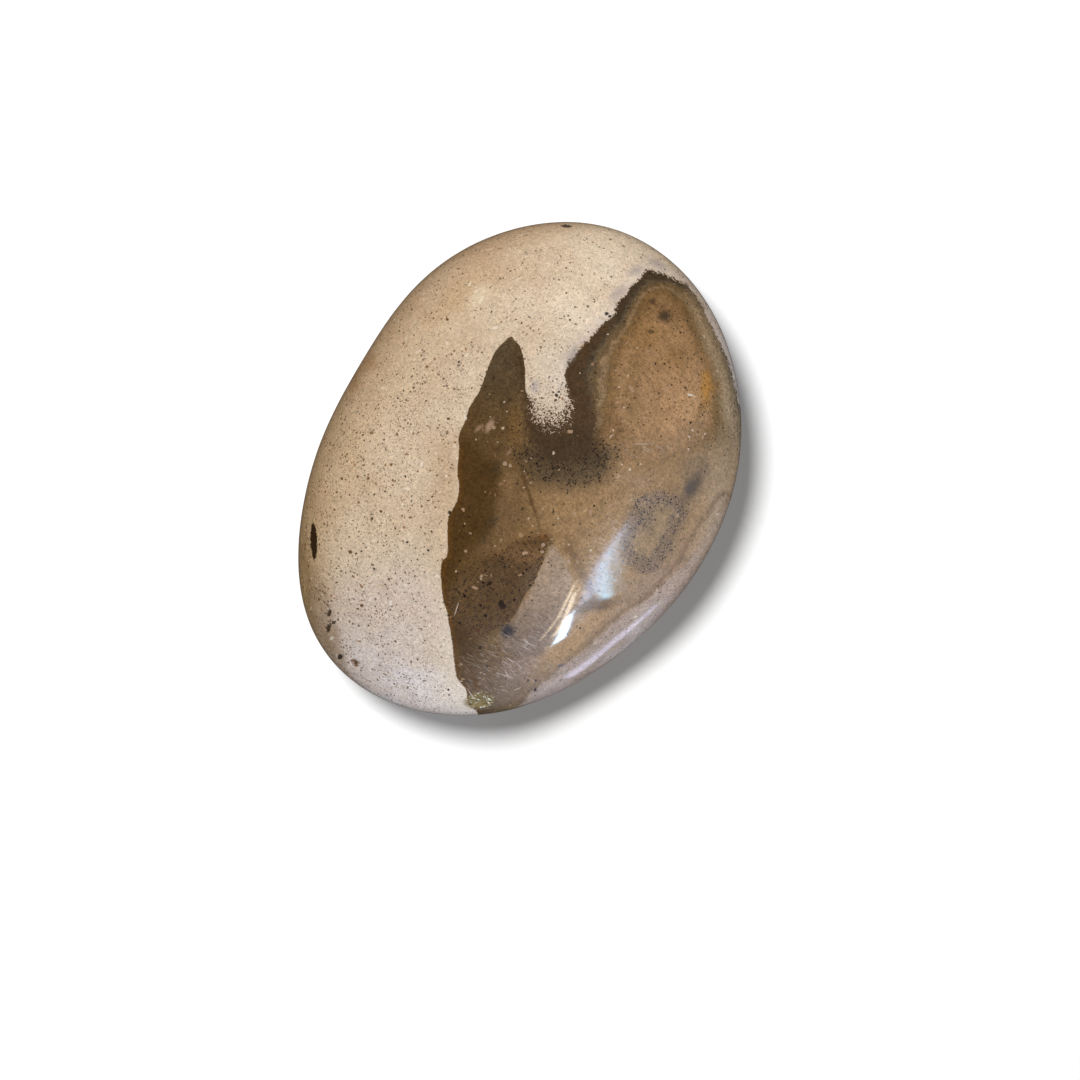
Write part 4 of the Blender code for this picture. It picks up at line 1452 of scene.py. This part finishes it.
def polishSkin(tree, skin, softSpot, shader):
    # slight waves, fine hatching, and a haze over a sharp gloss
    crest = placeSpot(tree, skin["place"], softSpot, *polish["crest"])
    glow = placeSpot(tree, skin["place"], softSpot, *polish["glow"])
    waves = noise(tree, skin["rock"], *polish["waves"]).outputs[0]
    relief = times(tree, waves, polish["waveHeight"])
    relief = calc(tree, "ADD", relief, times(tree, skin["fine"], crest, polish["crestWaveHeight"]))
    relief = calc(tree, "ADD", relief, times(tree, skin["hatch"], polish["hatchHeight"]))
    bump = addNode(tree, "ShaderNodeBump", {"Strength": 1.0, "Distance": 1.0, "Height": relief})
    feed(shader.inputs["Normal"], bump.outputs[0])

    rougher = polish["scratchedRoughness"] - polish["roughness"]
    rough = calc(tree, "MULTIPLY_ADD", skin["scratched"], rougher, polish["roughness"])
    rough = largest(tree, rough, times(tree, skin["isBevel"], polish["bevelRoughness"]))
    rough = largest(tree, rough, times(tree, skin["chip"], polish["chipRoughness"]))
    feed(shader.inputs["Roughness"], rough)

    haze = times(tree, glow, extent(tree, skin, polish, "hatch"), polish["glowHaze"])
    haze = largest(tree, haze, times(tree, skin["isTop"], polish["haze"]))
    feed(shader.inputs["Coat Weight"], haze)
    feed(shader.inputs["Coat Roughness"], polish["hazeRoughness"])


def finishStone(material, sheets):
    tree = material.node_tree
    shader = tree.nodes["Principled BSDF"]
    softSpot = softSpotGroup("ShaderNodeTree")
    skin = readSkin(tree)
    findBorder(tree, skin, softSpot)
    colour = paintGround(tree, skin, softSpot)
    colour = addGrains(tree, skin, softSpot, colour)
    colour = addMarks(tree, skin, softSpot, colour, sheets)
    colour = addScratches(tree, skin, softSpot, colour)
    feed(shader.inputs["Base Color"], colour)
    polishSkin(tree, skin, softSpot, shader)


# The studio: a plain white floor, soft light on the stone, a lamp for the floor's shadow, and small
# strip lights that only show as highlights in the polish. Directions are in the viewer's frame: an
# azimuth counted from their right towards what lies away from them, and a tilt from straight up.

studio = {
    "floorSize": 6.0,
    "floorTone": (0.9, 0.9, 0.9, 1.0),
    "floorRoughness": 0.9,
    "floorLift": 0.161,  # how far the shadow is from black
    "fill": (0.06, 0.06, 0.06),  # light from all round
    "sheen": (0.56, 0.58, 0.64),  # what the polish mirrors on the window's side
    "dusk": (0.05, 0.045, 0.04),  # and elsewhere
    "sheenSide": (-62.0, 80.0),  # azimuth and tilt
    "sheenSpread": (0.35, 0.97),
    "shadowLamp": (131.0, 18.0, 1.2, 0.3, (1.02, 1.02, 1.02)),  # azimuth, tilt, distance, size, level
    "softLights": {
        "overhead": (10.0, 22.0, 1.2, 0.9, (0.93, 0.99, 1.02)),
        "window": (-60.0, 80.0, 1.0, 0.7, (0.68, 0.98, 1.62)),
        "warmWall": (120.0, 78.0, 1.0, 0.8, (0.63, 0.52, 0.37)),
        "leftWall": (-125.0, 80.0, 1.0, 0.8, (0.27, 0.20, 0.03)),
    },
    "strips": {  # the two ends, the place it faces, in mm; width in mm, radiance
        "windowBar": ((574, -24, 235), (610, -85, 58), (15.0, -4.1, 22.2), 8, (12, 25, 36)),
        "windowGlow": ((562, -22, 258), (596, -98, 136), (13.5, -3.4, 23.3), 60, (2.6, 3.7, 6.0)),
        "windowPane": ((249, -70, 84), (244, -109, -3), (13.9, -12.7, 21.9), 20, (15, 24, 36)),
        "lampPane": ((372, -70, 187), (382, -164, 61), (13.3, -11.7, 22.7), 19, (14, 12, 8.5)),
        "lampEdge": ((353, -62, 224), (367, -123, 171), (12.6, -9.9, 23.5), 12, (15, 12, 8)),
        "lampRim": ((367, -123, 171), (356, -195, 122), (12.6, -13.4, 22.7), 12, (15, 12, 8)),
        "tableSheen": ((46, -11.5, 1.5), (29, -22.5, 1.5), (20.2, -11.5, 14.0), 2.6, (2.1, 2.2, 3.2)),
    },
    "lens": 135.0,
    "sensor": 36.0,
}


def softFloor():
    bpy.ops.mesh.primitive_plane_add(size=studio["floorSize"])
    floor = bpy.context.active_object
    floor.name = "floor"
    material = bpy.data.materials.new("paleFloor")
    material.use_nodes = True
    shader = material.node_tree.nodes["Principled BSDF"]
    shader.inputs["Base Color"].default_value = studio["floorTone"]
    shader.inputs["Roughness"].default_value = studio["floorRoughness"]
    shader.inputs["Specular IOR Level"].default_value = 0.0
    shader.inputs["Emission Color"].default_value = (1, 1, 1, 1)
    shader.inputs["Emission Strength"].default_value = studio["floorLift"]
    floor.data.materials.append(material)
    floor.visible_diffuse = False
    floor.visible_glossy = False
    return floor


def addLight(name, shape, place, lit):
    data = bpy.data.lights.new(name, "AREA")
    data.shape = shape
    light = bpy.data.objects.new(name, data)
    light.location = place
    bpy.context.scene.collection.objects.link(light)
    receivers = bpy.data.collections.new(name + "Receivers")
    receivers.objects.link(lit)
    light.light_linking.receiver_collection = receivers
    light.visible_camera = False
    return light


def softLight(name, lit, azimuth, tilt, distance, size, level):
    # level is how bright it makes a white matt face that is turned to it, in red, green and blue
    place = facing(azimuth + drawingBoard["turn"], 90 - tilt) * distance
    light = addLight(name, "DISK", place, lit)
    light.rotation_euler = place.to_track_quat("Z", "Y").to_euler()
    light.data.size = size
    light.data.energy = max(level) * (pi * distance) ** 2
    light.data.color = [part / max(level) for part in level]
    light.visible_glossy = False
    return light


def stripLight(name, lit, start, end, aim, width, radiance):
    start, end, aim = (Vector(point) * mm for point in (start, end, aim))
    middle = (start + end) / 2
    light = addLight(name, "RECTANGLE", middle, lit)
    back = (middle - aim).normalized()
    along = (end - start).cross(back).normalized()
    light.rotation_euler = Matrix((back.cross(along) * -1, along, back)).transposed().to_euler()
    light.data.size = (end - start).length
    light.data.size_y = width * mm
    light.data.energy = max(radiance) * pi * light.data.size * light.data.size_y
    light.data.color = [part / max(radiance) for part in radiance]
    light.visible_diffuse = False
    return light


def lightRoom():
    # an even fill for the stone's colours, and for its polish a room that is bright on the window's side
    world = bpy.data.worlds.new("studioWorld")
    world.use_nodes = True
    world.cycles.sampling_method = "NONE"
    tree = world.node_tree
    background = tree.nodes["Background"]
    path = addNode(tree, "ShaderNodeLightPath").outputs
    way = addNode(tree, "ShaderNodeTexCoord").outputs["Generated"]
    azimuth, tilt = studio["sheenSide"]
    toWindow = vectorCalc(tree, "DOT_PRODUCT", way, facing(azimuth + drawingBoard["turn"], 90 - tilt))
    isWindow = fade(tree, toWindow, *studio["sheenSpread"])
    mirrored = blend(tree, isWindow, (*studio["dusk"], 1), (*studio["sheen"], 1))
    colour = blend(tree, path["Is Glossy Ray"], (*studio["fill"], 1), mirrored)
    feed(background.inputs["Color"], blend(tree, path["Is Camera Ray"], colour, (1, 1, 1, 1)))
    bpy.context.scene.world = world


def lightStudio(stone, floor):
    softLight("shadowLamp", floor, *studio["shadowLamp"])
    for name, values in studio["softLights"].items():
        softLight(name, stone, *values)
    for name, values in studio["strips"].items():
        stripLight(name, stone, *values)
    lightRoom()


def placeCamera():
    data = bpy.data.cameras.new("camera")
    data.lens = studio["lens"]
    data.sensor_width = studio["sensor"]
    camera = bpy.data.objects.new("camera", data)
    x, y = drawingBoard["eye"]
    camera.location = Vector((x, y, drawingBoard["level"] + drawingBoard["eyeHeight"])) * mm
    camera.rotation_euler = (0, 0, radians(drawingBoard["turn"]))
    bpy.context.scene.collection.objects.link(camera)
    bpy.context.scene.camera = camera


finish = bpy.data.materials.new("polishedJasper")
finish.use_nodes = True
stone = makeStone(finish)
print("Made and painted the stone with", len(stone.data.polygons), "faces")
finishStone(finish, [f"marks{number}" for number in range(1, len(sortMarks()) + 1)])
print("Finished its skin")
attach(stone, "root")
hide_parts("jasper_stone")

floor = softFloor()
lightStudio(stone, floor)
placeCamera()
bpy.context.scene.view_settings.view_transform = "Standard"
print("Set up the studio")
